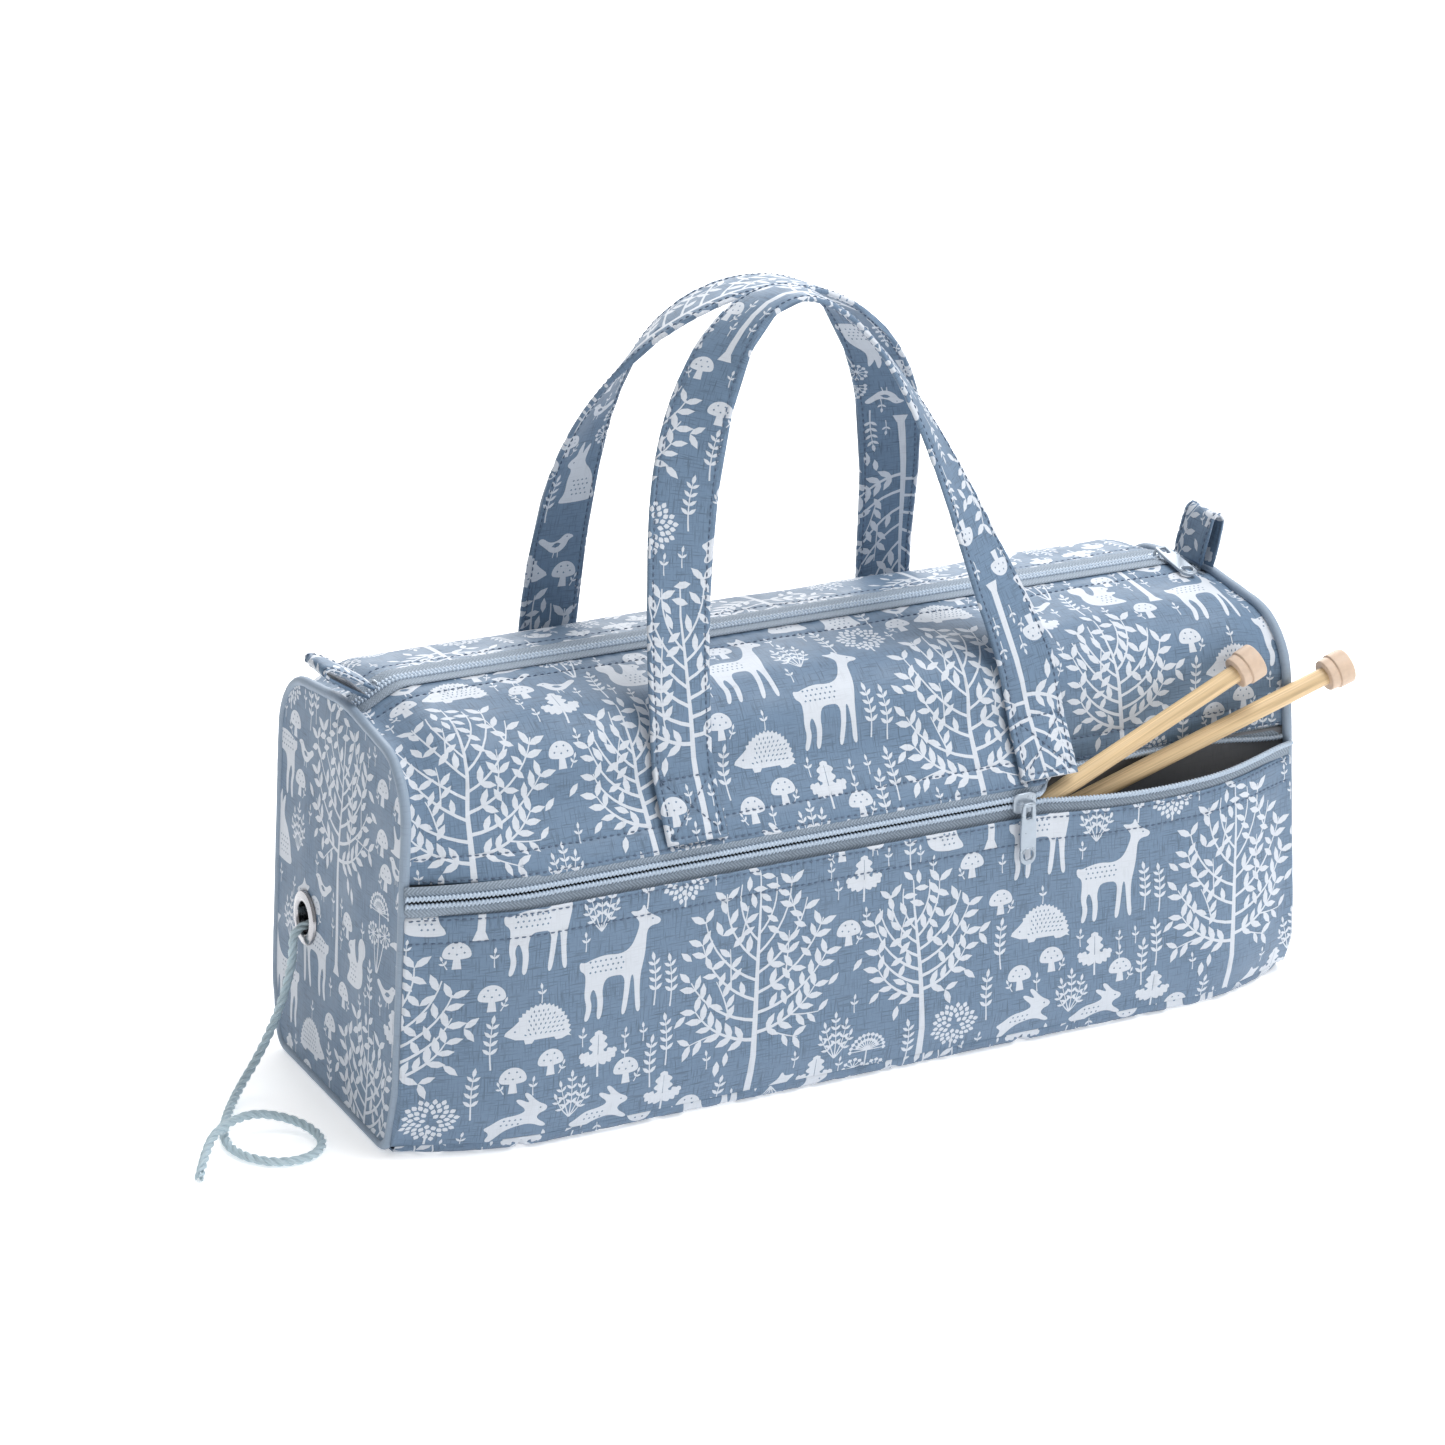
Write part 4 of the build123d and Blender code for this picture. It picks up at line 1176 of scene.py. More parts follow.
class YarnOperator(bpy.types.Operator):
    """Makes the three-ply strand of yarn that runs out of the eyelet, with its frayed end"""
    bl_idname = "knitbag.yarn"
    bl_label = "Yarn"

    def execute(self, context):
        sizes = sizes_of(context)
        line = spline_line("Yarn route", YARN_ROUTE)
        line, length = even(line, 620)
        ahead = np.gradient(line, axis=0)
        ahead /= np.linalg.norm(ahead, axis=1)[:, None]
        side = np.array([0.0, 1.0, 0.0])
        sides = []
        for direction in ahead:
            side = side - direction * (side @ direction)
            side /= np.linalg.norm(side)
            sides.append(side)
        sides = np.array(sides)
        ups = np.cross(ahead, sides)
        along = np.linspace(0, length, len(line))
        rng = random.Random(3)
        ply_radius = sizes.yarn * 0.27
        ply_reach = sizes.yarn * 0.235
        points, faces, marks = [], [], []
        ring = 10
        for ply in range(3):
            start = len(points)
            for k, (place, a, b, s) in enumerate(zip(line, sides, ups, along)):
                loose = max(0.0, 1 - (length - s) / (9 * MM))
                turn = ply * 2 * math.pi / 3 + s / sizes.yarn_twist * 2 * math.pi
                reach = ply_reach * (1 + 0.5 * loose)
                middle = place + a * reach * math.cos(turn) + b * reach * math.sin(turn)
                lumps = 1 + 0.09 * noise.noise(Vector((s * 420, ply * 5, 0)))
                radius = ply_radius * lumps * (1 - 0.45 * loose)
                for n in range(ring):
                    angle = turn * 1.0 + n * 2 * math.pi / ring
                    points.append(middle + a * radius * math.cos(angle) + b * radius * math.sin(angle))
                    marks.append((math.cos(n * 2 * math.pi / ring) * radius, math.sin(n * 2 * math.pi / ring)
                                  * radius, s + ply * 0.1))
            for k in range(len(line) - 1):
                for n in range(ring):
                    m = (n + 1) % ring
                    p, q = start + k * ring, start + (k + 1) * ring
                    faces.append((p + n, q + n, q + m, p + m))
            faces.append(tuple(start + n for n in range(ring)))
            faces.append(tuple(start + (len(line) - 1) * ring + n for n in range(ring))[::-1])
        # loose fibres all along, and a brush of them at the cut end
        for hair in range(900):
            at_end = hair < 150
            s = length - rng.uniform(0, 4) * MM if at_end else rng.uniform(0.08, 1) * length
            k = min(int(s / length * (len(line) - 1)), len(line) - 2)
            angle = rng.uniform(0, 2 * math.pi)
            out = sides[k] * math.cos(angle) + ups[k] * math.sin(angle)
            root = line[k] + out * sizes.yarn * 0.42 * (0.6 if at_end else 1)
            lie = ahead[k] * (rng.uniform(0.6, 1.8) if at_end else rng.uniform(-1.6, 1.6))
            reach = rng.uniform(1.4, 2.9) * MM if at_end else rng.uniform(0.9, 2.2) * MM
            tip = root + (out * 0.55 + lie) / np.linalg.norm(out * 0.55 + lie) * reach
            bow = (root + tip) / 2 + out * reach * 0.16
            if min(root[2], tip[2], bow[2]) < 0.1 * MM:
                continue
            across = np.cross(tip - root, out)
            across = across / (np.linalg.norm(across) + 1e-12) * 0.05 * MM
            start = len(points)
            points += [root - across, root + across, bow + across, bow - across, tip]
            marks += [(0, 0, s)] * 5
            faces += [(start, start + 1, start + 2, start + 3), (start + 3, start + 2, start + 4)]
        points = [(p[0], p[1], max(p[2], 0.05 * MM)) for p in points]
        yarn = new_object("yarn", points, faces, [material("Cotton yarn")])
        layer = yarn.data.attributes.new("ply", "FLOAT_VECTOR", "POINT")
        layer.data.foreach_set("vector", np.array(marks, float).ravel())
        settle(yarn, "bag", "yarn_strand")
        [tuple(p) for p in line[::4]]
        return {"FINISHED"}


class WallsOperator(bpy.types.Operator):
    """Makes the printed long walls, the pocket panel and the pocket's lining, with their topstitching"""
    bl_idname = "knitbag.walls"
    bl_label = "Walls and pocket"

    def execute(self, context):
        sizes = sizes_of(context)
        repeat = print_of(context)
        near, far = 1.6 * MM, 11.5 * MM
        walls = (
            ("upper_front_cloth", "upper_front", upper_section, (("low", near), ("low", far), ("high", -near),
             ("high", -far)), ("low", "high"), (0.020, 0.030), 1),
            ("pocket_cloth", "pocket_front", pocket_section, (("high", -near), ("high", -far)),
             ("high",), (0.131, 0.012), 2),
            ("back_cloth", "back_panel", back_section, (("high", -near), ("high", -far)), ("high",),
             (0.071, 0.055), 3))
        for name, stands_for, section, rows, folds, origin, seed in walls:
            inset = 1.2 * MM if stands_for == "pocket_front" else 0.8 * MM
            cloth = wall_cloth(section, rows, folds, seed, inset=inset)
            if cloth.surface.out[60, 30][1] * (1 if stands_for == "back_panel" else -1) < 0:
                cloth.surface.out = -cloth.surface.out
            panel = make_panel(name, cloth, repeat, origin, sizes.grid, sizes.cloth)
            settle(panel, "bag", stands_for)
            thread = settle(add_stitches(name + "_stitching", rows_on(cloth, cloth.rows), sizes), "bag")
        lining = wall_cloth(lining_section, (), (), 4, wave=0.6 * MM, inset=1.5 * MM)
        if lining.surface.out[60, 30][1] > 0:
            lining.surface.out = -lining.surface.out
        panel = make_panel("pocket_lining", lining, [], (0, 0), 2 * sizes.grid, sizes.cloth)
        panel.data.materials.clear()
        panel.data.materials.append(material("Pocket lining"))
        settle(panel, "bag", "pocket_back")
        return {"FINISHED"}


HANDLE_WIDTH = 28 * MM
HANDLES = {
    "front": ((-87, -84.3, 124.0, 0), (-87, -77.6, 136.0, 0), (-87, -71.0, 147.4, 0), (-87, -68.3, 154.5, 0),
              (-86.6, -67.2, 171, 0), (-85.4, -62.5, 191, 0), (-80, -52, 230, -6), (-70, -38, 270, -26),
              (-53, -25.5, 305, -55), (-32, -17.5, 327, -80), (-8, -15, 334, -90), (16, -17.5, 321, -98),
              (38, -25, 292, -115), (56, -37, 250, -136), (69, -50.5, 207, -158), (76.5, -62.3, 180, -176),
              (79.2, -66.8, 166, -180), (80.5, -68.3, 154.5, -180), (80.5, -71.0, 147.4, -180),
              (80.5, -77.6, 136.0, -180), (80.5, -84.3, 124.0, -180)),
    "back": ((-87, 68.3, 124.0, 180), (-87, 68.3, 140, 180), (-87, 68.3, 155, 180), (-86.8, 67.2, 171, 180),
             (-86.2, 62.8, 191, 180), (-84, 53, 232, 188), (-78, 38, 272, 208), (-64, 26, 303, 238),
             (-42, 17.5, 322, 260), (-14, 15, 330, 270), (18, 17.5, 325, 278), (44, 25, 305, 296),
             (63, 34, 272, 326), (73, 48, 235, 348), (77.6, 61.6, 194, 360), (79.6, 66.8, 172, 360),
             (80.5, 68.3, 155, 360), (80.5, 68.3, 140, 360), (80.5, 68.3, 124.0, 360))}


def ribbon_surface(route, width, columns=9, count=240):
    """A strap surface: u across its width and v along its length; each point has the width's heading."""
    line, _ = even(soft_line(route, 3, closed=False), count)
    places = line[:, :3] * MM
    ahead = np.gradient(places, axis=0)
    ahead /= np.linalg.norm(ahead, axis=1)[:, None]
    heading = np.radians(line[:, 3])
    across = np.stack([np.cos(heading), np.sin(heading), np.zeros(count)], 1)
    across -= ahead * np.sum(across * ahead, 1)[:, None]
    across /= np.linalg.norm(across, axis=1)[:, None]
    out = np.cross(across, ahead)
    shares = np.linspace(-0.5, 0.5, columns)
    grid = [places + across * width * share - out * 0.5 * MM * (2 * share) ** 2 for share in shares]
    length = np.linalg.norm(np.diff(places, axis=0), axis=1).sum()
    return Surface(grid, width, float(length))


def box_cross(width, low, high, inset):
    """The stitched box and cross that hold one strap end."""
    left, right = inset, width - inset
    return [[(left, low), (right, low)], [(left, high), (right, high)], [(left, low), (right, high)],
            [(left, high), (right, low)]]


class HandlesOperator(bpy.types.Operator):
    """Makes the two handles, from one stitched end over the arch to the other"""
    bl_idname = "knitbag.handles"
    bl_label = "Handles"

    def execute(self, context):
        sizes = sizes_of(context)
        for side, sign, origin in (("front", -1, (0.142, 0.118)), ("back", 1, (0.027, 0.055))):
            surface = ribbon_surface(HANDLES[side], HANDLE_WIDTH)
            edge, end, reach = 2.6 * MM, 2.4 * MM, 25 * MM
            rows = [[(u, end), (u, surface.height - end)] for u in (edge, HANDLE_WIDTH - edge)]
            rows += box_cross(HANDLE_WIDTH, end, reach, edge)
            rows += box_cross(HANDLE_WIDTH, surface.height - reach, surface.height - end, edge)
            cloth = Cloth(surface, corners(HANDLE_WIDTH, surface.height), rows, wave=0.7 * MM,
                          wave_size=30 * MM, pucker=0.12 * MM, seed=7 + sign)
            strap = make_strap(f"handle_{side}_strap", cloth, print_of(context), origin, sizes.grid, 2.4 * MM)
            doubled = []
            for face in (1, -1):
                for row in rows[:2] + (rows[2:] if face == 1 else []):
                    length = np.linalg.norm(np.subtract(row[1], row[0]))
                    line, _ = even(row, max(6, int(length / (1.6 * MM))))
                    lift = cloth.relief(line, groove=False) + face * 1.02 * MM
                    doubled.append((surface.place(line, lift), face * surface.sample(surface.out, line)))
            thread = add_stitches(f"handle_{side}_stitching", doubled, sizes)
            nodes = [f"handle_{side}", f"strap_end_{side}_left", f"strap_end_{side}_right"]
            for piece in (strap, thread):
                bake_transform(piece)
            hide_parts(*nodes)
        return {"FINISHED"}


class TabsOperator(bpy.types.Operator):
    """Makes the folded tabs at both ends of the top zip"""
    bl_idname = "knitbag.tabs"
    bl_label = "Tabs"

    def execute(self, context):
        sizes = sizes_of(context)
        width, gap, height = 24, 5, 22
        for side, name, lean, foot in ((-1, "left", 58, (-201, 0, 183.6)),
                                       (1, "right", 14, (203.5, 0, 180.6))):
            lean = math.radians(lean)
            away = np.array([side * math.cos(lean), 0, -math.sin(lean)])
            up = np.array([side * math.sin(lean), 0, math.cos(lean)])
            bend = ((-gap / 2, -1), (-gap / 2 - 0.4, 8), (-gap / 2, height - 2), (-1, height + 0.9),
                    (1, height + 0.9), (gap / 2, height - 2), (gap / 2 + 0.4, 8), (gap / 2, -1))
            route = [(*(np.array(foot) + away * a + up * h), 90) for a, h in bend]
            surface = ribbon_surface(route, width * MM, count=90)
            rows = [[(u, 1 * MM), (u, surface.height - 1 * MM)] for u in (2.2 * MM, (width - 2.2) * MM)]
            cloth = Cloth(surface, corners(width * MM, surface.height), rows, wave=0.4 * MM,
                          wave_size=20 * MM, pucker=0.1 * MM, seed=20 + side)
            tab = make_strap(f"tab_{name}_cloth", cloth, print_of(context), (0.048 + side * 0.04, 0.055),
                             2.2 * MM, 1.5 * MM)
            settle(tab, "bag", f"tab_{name}")
            places = []
            outside = 1 if surface.out[4, 20] @ away * -1 > 0 else -1
            for row in rows:
                line, _ = even(row, 30)
                lift = cloth.relief(line, groove=False) + outside * 0.62 * MM
                places.append((surface.place(line, lift), outside * surface.sample(surface.out, line)))
            thread = settle(add_stitches(f"tab_{name}_stitching", places, sizes), "bag")
        return {"FINISHED"}


class EndsOperator(bpy.types.Operator):
    """Makes the two printed ends and the piping around them"""
    bl_idname = "knitbag.ends"
    bl_label = "Ends and piping"

    def execute(self, context):
        sizes = sizes_of(context)
        half, top = 70 * MM, 180 * MM
        for side, name, origin in ((-1, "left", (0.093, 0.046)), (1, "right", (0.171, 0.150))):
            grid = [[end_place(side, across, up,
                               1.2 * MM * (1 - (across / half) ** 2) * math.sin(math.pi * up / top))
                     for up in np.linspace(0, top, 40)] for across in np.linspace(-half, half, 34)]
            surface = Surface(grid, 2 * half, top)
            if surface.out[16, 20][0] * side < 0:
                surface.out = -surface.out
            outline = end_outline(1.4 * MM) + (half, 0)
            holes = []
            if side < 0:
                holes = [[(half + EYELET_ACROSS + 7.6 * MM * math.cos(a), EYELET_UP + 7.6 * MM * math.sin(a))
                          for a in np.linspace(0, 2 * math.pi, 33)[:-1]]]
            cloth = Cloth(surface, outline, holes=holes, wave=1.3 * MM, wave_size=44 * MM, seed=10 + side)
            panel = make_panel(f"end_{name}_cloth", cloth, print_of(context), origin, sizes.grid, sizes.cloth)
            settle(panel, "bag", f"end_panel_{name}")

            loop = end_outline(2.5 * MM)
            loop = np.vstack([loop, loop[:1]])
            loop, length = even(loop, 520)
            places = np.array([end_place(side, a, b, -1 * MM) for a, b in loop[:-1]])
            ahead = np.roll(places, -1, 0) - np.roll(places, 1, 0)
            ahead /= np.linalg.norm(ahead, axis=1)[:, None]
            out = end_place(side, 0, 0, 1) - end_place(side, 0, 0, 0)
            points, faces, flat, ring = [], [], [], 14
            for k, place in enumerate(places):
                right = np.cross(ahead[k], out)
                along = k / len(places) * length
                for n in range(ring):
                    angle = n * 2 * math.pi / ring
                    ripple = noise.noise(Vector((along * 130, math.cos(angle) * 0.6, side * 3)))
                    radius = (2.2 + 0.13 * ripple) * MM
                    points.append(place + (right * math.cos(angle) + out * math.sin(angle)) * radius)
                    flat.append((along, angle * 2.2 * MM))
            for k in range(len(places)):
                for n in range(ring):
                    a, b, m = k * ring, (k + 1) % len(places) * ring, (n + 1) % ring
                    faces.append((a + n, a + m, b + m, b + n))
            piping = new_object(f"piping_{name}_cord", points, faces, [material("Piping cotton")], flat)
            outwards(piping)
            settle(piping, "bag", f"piping_{name}")
        return {"FINISHED"}


def base_section(x):
    front = pocket_out(x, -82.2 * MM, -60.8 * MM)
    return rounded([(front, SEAM + 0.5 * MM), (front + 0.8 * MM, 0.25 * MM), (58.2 * MM, 0.25 * MM),
                    (59.0 * MM, SEAM + 0.5 * MM)], (3.6 * MM, 3.6 * MM))


class BaseOperator(bpy.types.Operator):
    """Makes the printed base, turned up to the bottom seams"""
    bl_idname = "knitbag.base"
    bl_label = "Base"

    def execute(self, context):
        sizes = sizes_of(context)
        grid, height = wall_grid(base_section, HALF_LENGTH - 4 * MM, inset=3.4 * MM, rows=110)
        width = 2 * (HALF_LENGTH - 6 * MM)
        surface = Surface(grid, width, height)
        if surface.out[60, 55][2] > 0:
            surface.out = -surface.out
        cloth = Cloth(surface, corners(width, height), (), (), wave=0.0, pucker=0.0)
        panel = make_panel("base_cloth", cloth, print_of(context), (0.05, 0.1), 1.5 * sizes.grid, sizes.cloth)
        settle(panel, "bag", "base_panel")
        return {"FINISHED"}


def zip_row(x, upper):
    """Place (y, z) of one row of the pocket zip's teeth; it parts to the right of the slider."""
    y = pocket_out(x, CHAIN_Y, -69.4 * MM)
    z = CHAIN_Z + (ROW_STEP if upper else -ROW_STEP)
    closing = smooth((x - 168 * MM) / (40 * MM))
    if upper:
        apart = smooth((x - 74 * MM) / (18 * MM))
        return y + (-67.9 * MM - y) * apart, z + (119.7 * MM - 3.7 * MM * closing - z) * apart
    return y - 3.4 * MM * gape(x), z - 3.2 * MM * gape(x) + 0.9 * MM * closing


def add_teeth(name, places, ups, pitch, node_name):
    """One row of coil teeth as a rounded bar with slanting ribs."""
    long = np.linalg.norm(np.diff(places, axis=0), axis=1).sum()
    line, _ = even(np.hstack([places, ups]), int(long / pitch * 5))
    ring = 10
    path = frames_along(line[:, :3], line[:, 3:])
    points, faces = [], []
    for k, (place, right, up) in enumerate(path):
        phase = k / 5 * 2 * math.pi
        for n in range(ring):
            angle = n * 2 * math.pi / ring
            rib = 0.86 + 0.32 * math.sin(phase + 1.6 * math.cos(angle))
            out = right * math.cos(angle) * 1.12 + up * math.sin(angle) * 1.0
            points.append(place + out * rib * 1.05 * MM)
    for k in range(len(path) - 1):
        for n in range(ring):
            m = (n + 1) % ring
            faces.append((k * ring + n, k * ring + m, (k + 1) * ring + m, (k + 1) * ring + n))
    faces.append(tuple(range(ring)))
    faces.append(tuple((len(path) - 1) * ring + n for n in range(ring)))
    teeth = new_object(name, points, faces, [material("Nylon teeth")])
    outwards(teeth)
    return settle(teeth, "bag", node_name)


def add_tape(name, first, second, replaced, thick=0.5 * MM):
    """A woven strip between two edge lines."""
    first, second = np.array(first, float), np.array(second, float)
    steps = np.r_[0, np.cumsum(np.linalg.norm(np.diff(first, axis=0), axis=1))]
    wide = float(np.linalg.norm(second[0] - first[0]))
    rows = 5
    points, flat, faces = [], [], []
    for k, (a, b) in enumerate(zip(first, second)):
        for n in range(rows):
            share = n / (rows - 1)
            points.append(a + (b - a) * share)
            flat.append((steps[k], share * wide))
    for k in range(len(first) - 1):
        for n in range(rows - 1):
            a = k * rows + n
            faces.append((a, a + 1, a + rows + 1, a + rows))
    tape = new_object(name, points, faces, [material("Woven zip tape")], flat)
    alone(tape)
    bpy.ops.object.modifier_add(type="SOLIDIFY")
    tape.modifiers[-1].thickness, tape.modifiers[-1].offset = thick, 0
    bpy.ops.object.modifier_apply(modifier=tape.modifiers[-1].name)
    settle(tape, "bag", *replaced)
    return tape


class ZipsOperator(bpy.types.Operator):
    """Makes the woven tapes and the rows of teeth of both zips"""
    bl_idname = "knitbag.zips"
    bl_label = "Zip tapes and teeth"

    def execute(self, context):
        sizes = sizes_of(context)
        xs = np.linspace(-206, 206, 160) * MM
        middle = (coil_low.z + END_DROP + coil_high.z) / 2
        for sign, name in ((-1, "front"), (1, "back")):
            lift = 0.5 * MM if sign > 0 else 0
            inner = [(x, sign * 2.2 * MM, middle - 0.3 * MM - top_fall(x)) for x in xs]
            outer = [(x, sign * 10 * MM, middle - 0.3 * MM - top_fall(x) + lift) for x in xs]
            add_tape(f"top_zip_tape_{name}", inner, outer, [f"top_tape_{name}"])
            row = np.array([(x, sign * 1.5 * MM, middle - top_fall(x)) for x in xs])
            add_teeth(f"top_zip_teeth_{name}", row, np.tile((0, 0, 1), (len(xs), 1)), sizes.tooth_pitch,
                      f"top_coil_{name}")
        xs = np.linspace(-212.5, 211.5, 210) * MM
        for upper, name in ((False, "lower"), (True, "upper")):
            row = np.array([(x, *zip_row(x, upper)) for x in xs])
            add_teeth(f"pocket_zip_teeth_{name}", row, np.tile((0, -1, 0), (len(xs), 1)), sizes.tooth_pitch,
                      f"pocket_coil_{name}")
            back = (0, 0.9 * MM, 0)
            if upper:
                far = [(x, max(edge_line(x) + 1.2 * MM, y + 0.9 * MM) if x > 80 * MM else y + 0.9 * MM,
                        max(121.5 * MM, z + 1.5 * MM)) for x, y, z in row]
                add_tape("pocket_zip_tape_upper", row + back, far, ["pocket_tape_upper", "pocket_tape_open"])
            else:
                tuck = np.array([(0, -0.3 * MM + 3.1 * MM * smooth((abs(x) - 160 * MM) / (40 * MM)), -12 * MM)
                                 for x in xs])
                far = row + back + tuck
                tape = add_tape("pocket_zip_tape_lower", row + back, far, ["pocket_tape_lower"])
        return {"FINISHED"}


def turned(name, profile, place, finish, steps=40):
    """Spins a profile of (radius, height) about z and puts it in place."""
    mesh = bpy.data.meshes.new(name)
    mesh.from_pydata([(r, 0, z) for r, z in profile], [(k, k + 1) for k in range(len(profile) - 1)], [])
    piece = bpy.data.objects.new(name, mesh)
    bpy.context.scene.collection.objects.link(piece)
    alone(piece)
    bpy.ops.object.mode_set(mode="EDIT")
    bpy.ops.mesh.select_all(action="SELECT")
    bpy.ops.mesh.spin(steps=steps, angle=2 * math.pi, center=(0, 0, 0), axis=(0, 0, 1))
    bpy.ops.mesh.select_all(action="SELECT")
    bpy.ops.mesh.remove_doubles(threshold=0.01 * MM)
    bpy.ops.mesh.normals_make_consistent(inside=False)
    bpy.ops.object.mode_set(mode="OBJECT")
    bpy.ops.object.shade_smooth_by_angle(angle=math.radians(35))
    co = np.zeros(len(mesh.vertices) * 3)
    mesh.vertices.foreach_get("co", co)
    mesh.attributes.new("turned", "FLOAT_VECTOR", "POINT").data.foreach_set("vector", co)
    mesh.transform(place)
    mesh.materials.append(material(finish))
    return piece


def frame_at(origin, axis):
    """A matrix that takes z to axis and the origin to origin."""
    return Matrix.Translation(origin) @ Vector(axis).to_track_quat("Z", "Y").to_matrix().to_4x4()


class EyeletOperator(bpy.types.Operator):
    """Makes the rolled metal eyelet and its washer in the left end"""
    bl_idname = "knitbag.eyelet"
    bl_label = "Eyelet"

    def execute(self, context):
        place = frame_at(end_place(-1, EYELET_ACROSS, EYELET_UP, 0.9 * MM),
                         end_place(-1, 0, 0, 1) - end_place(-1, 0, 0, 0))
        rim = rounded([(12, 0.1), (11.7, 1.35), (8.0, 2.1), (7.0, 1.2), (7.0, -3.4)], (0.5, 2.0, 1.2))
        inner = [(8 * MM, -3.4 * MM), (8 * MM, 0.1 * MM), (12 * MM, 0.1 * MM)]
        profile = [(p[0] * MM, p[1] * MM) for p in rim] + inner
        settle(turned("eyelet_rim", profile, place, "Polished nickel", 64), "bag", "eyelet")
        ring = [(11.5, -2.2), (11.2, -2.9), (8.4, -3.2), (8.15, -2.9), (8.15, -2.2), (11.5, -2.2)]
        settle(turned("eyelet_back_ring", [(a * MM, b * MM) for a, b in ring], place, "Polished nickel", 64),
               "bag", "eyelet_washer")
        return {"FINISHED"}


class NeedlesOperator(bpy.types.Operator):
    """Makes the two bamboo needles with their moulded caps"""
    bl_idname = "knitbag.needles"
    bl_label = "Needles"

    def execute(self, context):
        for name, start, axis in (("needle_one", (177, -77.2, 153.5), (1, 0.0113, 0.445)),
                                  ("needle_two", (225.3, -75.3, 144.2), (1, -0.0195, 0.316))):
            place = frame_at([c * MM for c in start], axis)
            shaft = [(4, 2.6), (4, -40), (4, -120), (4, -220), (4, -309), (3.96, -313), (3.7, -320),
                     (2.9, -328), (1.8, -334.4), (0.9, -337.4), (0.3, -338), (0, -338)]
            shaft = [(0, 2.6)] + shaft
            settle(turned(name + "_rod", [(r * MM, z * MM) for r, z in shaft], place, "Bamboo"), name,
                   name + "_shaft")
            cap = rounded([(4.05, 0), (7.1, 0), (7.3, 3.7), (7.0, 4.1),
                           (7.95, 4.5), (8, 11.6), (6.6, 12), (0, 11.9)],
                          (0.6, 0.25, 0.15, 0.4, 0.9, 2.0))
            profile = [(4.05 * MM, 2.8 * MM)] + [(p[0] * MM, p[1] * MM) for p in cap]
            settle(turned(name + "_knob", [(0, 2.8 * MM)] + profile, place, "Cap plastic", 56),
                   name, name + "_cap")
        return {"FINISHED"}


def plate(name, outline, holes, thick, bevel, place, finish):
    """A flat plate with rounded edges, from an outline and holes in millimetres."""
    data = bpy.data.curves.new(name, "CURVE")
    data.dimensions = "2D"
    data.fill_mode = "BOTH"
    data.extrude = (thick / 2 - bevel) * MM
    data.bevel_depth = bevel * MM
    data.offset = -bevel * MM
    data.bevel_resolution = 2
    for loop in [outline] + holes:
        spline = data.splines.new("POLY")
        spline.points.add(len(loop) - 1)
        for point, (x, y) in zip(spline.points, loop):
            point.co = (x * MM, y * MM, 0, 1)
        spline.use_cyclic_u = True
    piece = bpy.data.objects.new(name, data)
    bpy.context.scene.collection.objects.link(piece)
    alone(piece)
    bpy.ops.object.convert(target="MESH")
    piece = bpy.context.object
    bpy.ops.object.mode_set(mode="EDIT")
    bpy.ops.mesh.select_all(action="SELECT")
    bpy.ops.mesh.remove_doubles(threshold=0.01 * MM)
    bpy.ops.mesh.normals_make_consistent(inside=False)
    bpy.ops.object.mode_set(mode="OBJECT")
    piece.data.transform(place)
    piece.data.materials.clear()
    piece.data.materials.append(material(finish))
    alone(piece)
    bpy.ops.object.shade_smooth_by_angle(angle=math.radians(30))
    return piece


def wire(name, line, radius, place, finish, resolution=4):
    """A round wire along a line in millimetres."""
    data = bpy.data.curves.new(name, "CURVE")
    data.dimensions = "3D"
    data.bevel_depth = radius * MM
    data.bevel_resolution = resolution
    data.use_fill_caps = True
    spline = data.splines.new("POLY")
    spline.points.add(len(line) - 1)
    for point, (x, y, z) in zip(spline.points, line):
        point.co = (x * MM, y * MM, z * MM, 1)
    piece = bpy.data.objects.new(name, data)
    bpy.context.scene.collection.objects.link(piece)
    alone(piece)
    bpy.ops.object.convert(target="MESH")
    piece = bpy.context.object
    piece.data.transform(place)
    piece.data.materials.append(material(finish))
    outwards(piece)
    bpy.ops.object.shade_smooth()
    return piece


def join(pieces, name):
    bpy.ops.object.select_all(action="DESELECT")
    for piece in pieces:
        piece.select_set(True)
    bpy.context.view_layer.objects.active = pieces[0]
    bpy.ops.object.join()
    pieces[0].name = name
    return pieces[0]


def circle(x, y, radius, count=28):
    return [(x + radius * math.cos(a), y + radius * math.sin(a))
            for a in np.linspace(0, 2 * math.pi, count + 1)[:-1]]


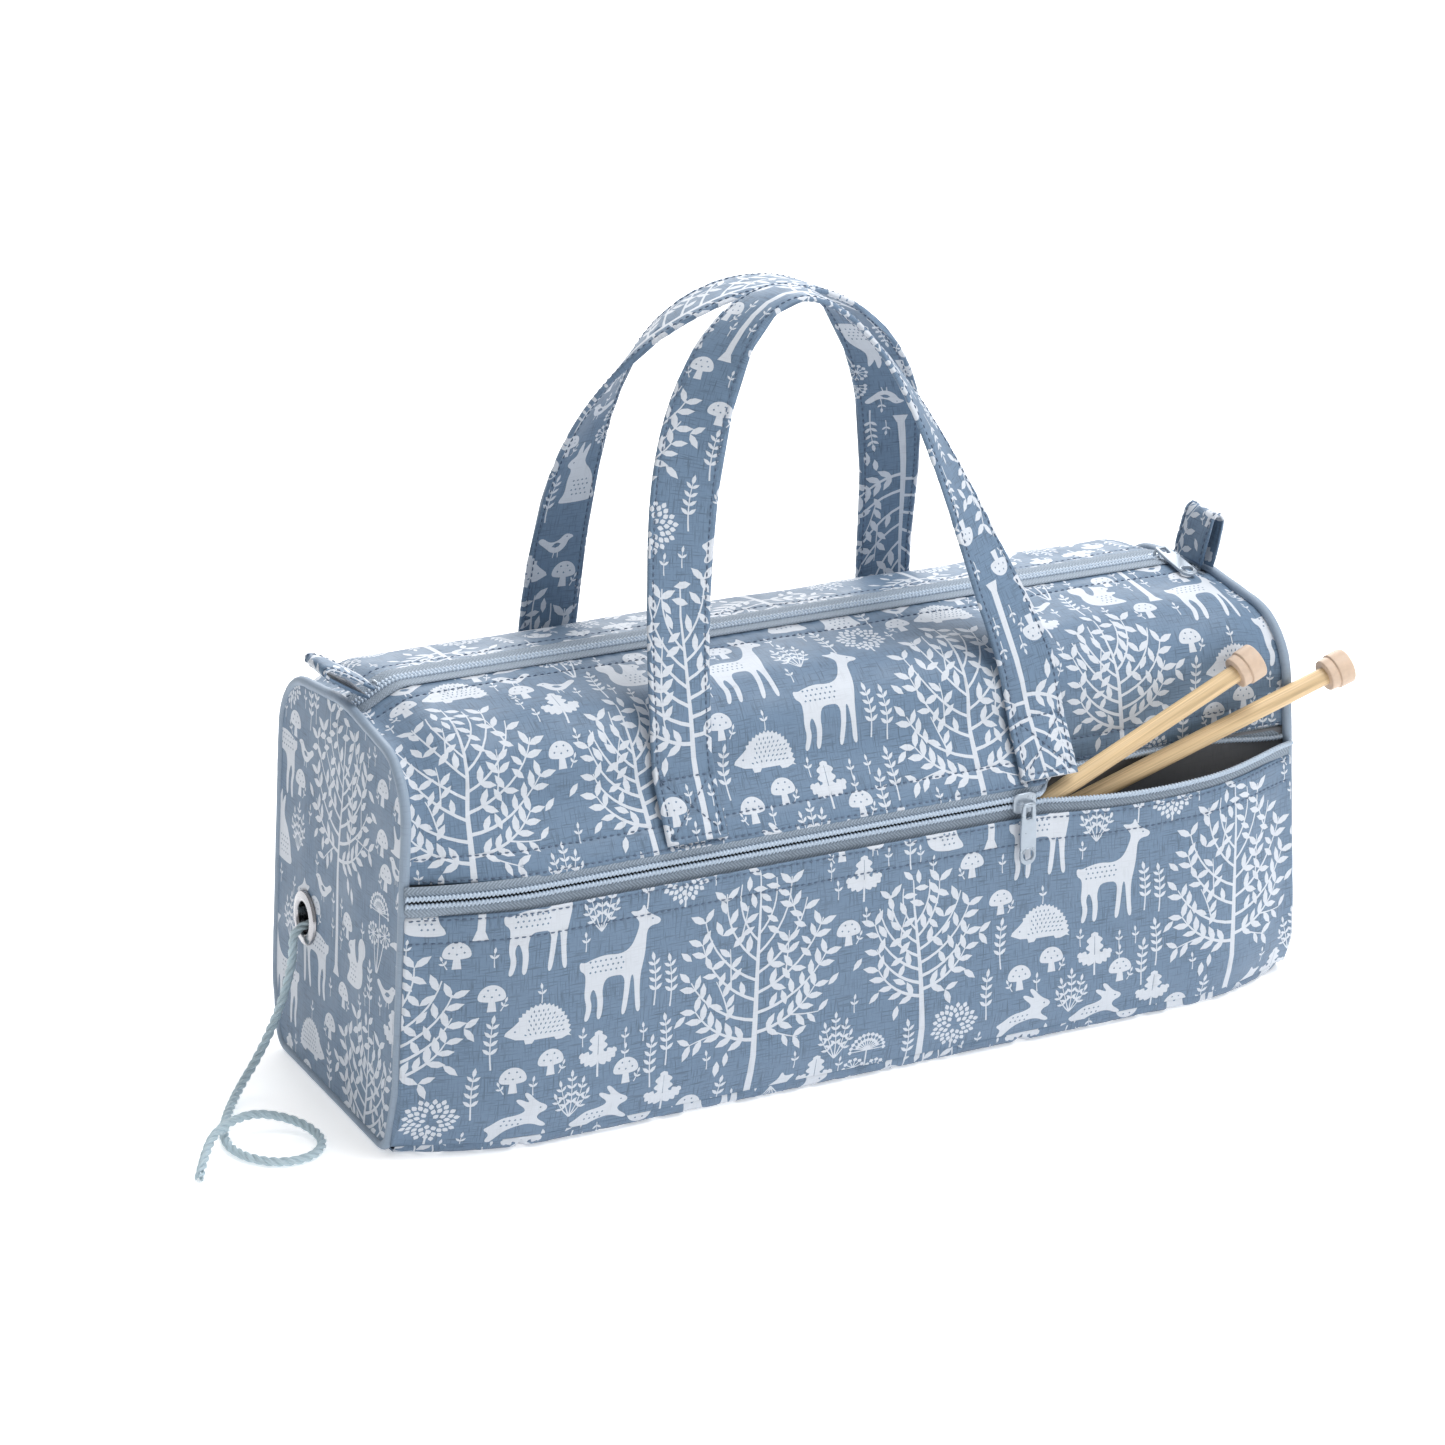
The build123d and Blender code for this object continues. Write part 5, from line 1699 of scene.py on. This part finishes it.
class SlidersOperator(bpy.types.Operator):
    """Makes the two zip sliders, their pulls and the stops of the top zip"""
    bl_idname = "knitbag.sliders"
    bl_label = "Sliders and pulls"

    def execute(self, context):
        finish = "Slider enamel"
        top_hinge = next(j["pos_m"] for j in frame["joints"] if j["child"] == "top_pull")
        pocket_hinge = next(j["pos_m"] for j in frame["joints"] if j["child"] == "pocket_pull")
        rise = 5.9 * MM
        quarter = Matrix.Rotation(math.pi / 2, 4, "X")
        for name, hinge, upright, slope in (("top", top_hinge, Matrix.Identity(4), math.radians(10)),
                                            ("pocket", pocket_hinge, quarter, 0.0)):
            hinge = Vector(hinge)
            middle = hinge - upright.to_3x3() @ Vector((0, 0, rise))
            seat = Matrix.Translation(middle) @ upright
            shield = rounded([(-5.5, 0), (-5.5, -3.3), (-3.2, -4.4), (2.2, -4.6), (5.5, -3.6), (5.5, 0)],
                             (1.6, 1.2, 3, 1.2))
            shield = [tuple(p) for p in shield] + [(p[0], -p[1]) for p in shield[-2:0:-1]]
            top_plate = plate("top plate", shield, [], 1.3, 0.4,
                              seat @ Matrix.Translation((0, 0, 2.1 * MM)), finish)
            low_plate = plate("low plate", shield, [], 1.2, 0.35,
                              seat @ Matrix.Translation((0, 0, -2.05 * MM)), finish)
            wedge = plate("wedge", [(1.2, -0.2), (5.0, -0.26), (5.0, 0.26), (1.2, 0.2)], [], 3.1, 0.1,
                          seat, finish)
            arch = [(3.7 * math.cos(a), 0, 2.3 + 3.9 * max(0.0, math.sin(a)) ** 0.7)
                    for a in np.linspace(0, math.pi, 25)]
            bail = wire("bail", arch, 0.68, seat, finish)
            slider_piece = join([top_plate, low_plate, wedge, bail], f"{name}_zip_slider")
            settle(slider_piece, name + "_slider", name + "_slider")
            body = [(-2.9, 1.2), (2.9, 1.2), (3.4, -3), (3.8, -11),
                    (3.8, -27), (-3.8, -27), (-3.8, -11), (-3.4, -3)]
            outline = []
            for k, radius in enumerate((1.6, 1.6, 3, 8, 3.7, 3.7, 8, 3)):
                outline += [tuple(p) for p in rounded([body[k - 1], body[k], body[(k + 1) % 8]],
                                                      (radius,))[1:-1]]
            slot_hole = [(1.5 * math.cos(a), (-0.5 if math.sin(a) > 0 else -5.2) + 1.0 * math.sin(a))
                         for a in np.linspace(0.01, 2 * math.pi + 0.01, 25)[:-1]]
            swing = Matrix.Translation(hinge) @ upright @ Matrix.Rotation(slope, 4, "X")
            tongue = plate("tongue", outline, [slot_hole, circle(0, -22.4, 2.5)], 1.5, 0.42, swing, finish)
            rim = wire("rim", [(3.0 * math.cos(a), -22.4 + 3.0 * math.sin(a), 0.62)
                               for a in np.linspace(0, 2 * math.pi, 33)], 0.42, swing, finish, 2)
            pull_piece = join([tongue, rim], f"{name}_zip_pull")
            settle(pull_piece, name + "_pull", name + "_pull")
        for name in ("top_stop_left", "top_stop_right"):
            low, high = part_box(name)
            centre = (low + high) / 2
            arch = [(0, -2.3, -0.2), (0, -1.7, 0.35), (0, 0, 0.45), (0, 1.7, 0.35), (0, 2.3, -0.2)]
            clip = wire(name + "_clip", arch, 0.75, Matrix.Translation(centre), finish)
            settle(clip, "bag", name)
        board = frame["nodes"]["base_board"]
        board.data.materials.clear()
        board.data.materials.append(material("Stiffener board"))
        return {"FINISHED"}


OPERATORS = (StageOperator, YarnOperator, WallsOperator, EndsOperator, BaseOperator, HandlesOperator,
             TabsOperator, ZipsOperator, SlidersOperator, EyeletOperator, NeedlesOperator)


class BagPanel(bpy.types.Panel):
    """Lists the bag's pieces, sizes and colours"""
    bl_idname = "KNITBAG_PT_pieces"
    bl_label = "Knitting bag"
    bl_space_type = "VIEW_3D"
    bl_region_type = "UI"
    bl_category = "Knitting bag"

    def draw(self, context):
        for owner, names in ((context.scene.knit_bag_sizes, BagSizes.__annotations__),
                             (context.scene.knit_bag_colours, BagColours.__annotations__)):
            for name in names:
                self.layout.prop(owner, name)
        for made in OPERATORS:
            self.layout.operator(made.bl_idname)


def register():
    for made in (BagSizes, BagColours) + OPERATORS + (BagPanel,):
        bpy.utils.register_class(made)
    bpy.types.Scene.knit_bag_sizes = bpy.props.PointerProperty(type=BagSizes)
    bpy.types.Scene.knit_bag_colours = bpy.props.PointerProperty(type=BagColours)


def unregister():
    del bpy.types.Scene.knit_bag_sizes
    del bpy.types.Scene.knit_bag_colours
    for made in reversed((BagSizes, BagColours) + OPERATORS + (BagPanel,)):
        bpy.utils.unregister_class(made)


def main():
    register()
    build_materials(bpy.context.scene.knit_bag_colours)
    for made in OPERATORS:
        section, name = made.bl_idname.split(".")
        getattr(getattr(bpy.ops, section), name)()


if __name__ == "__main__":
    main()
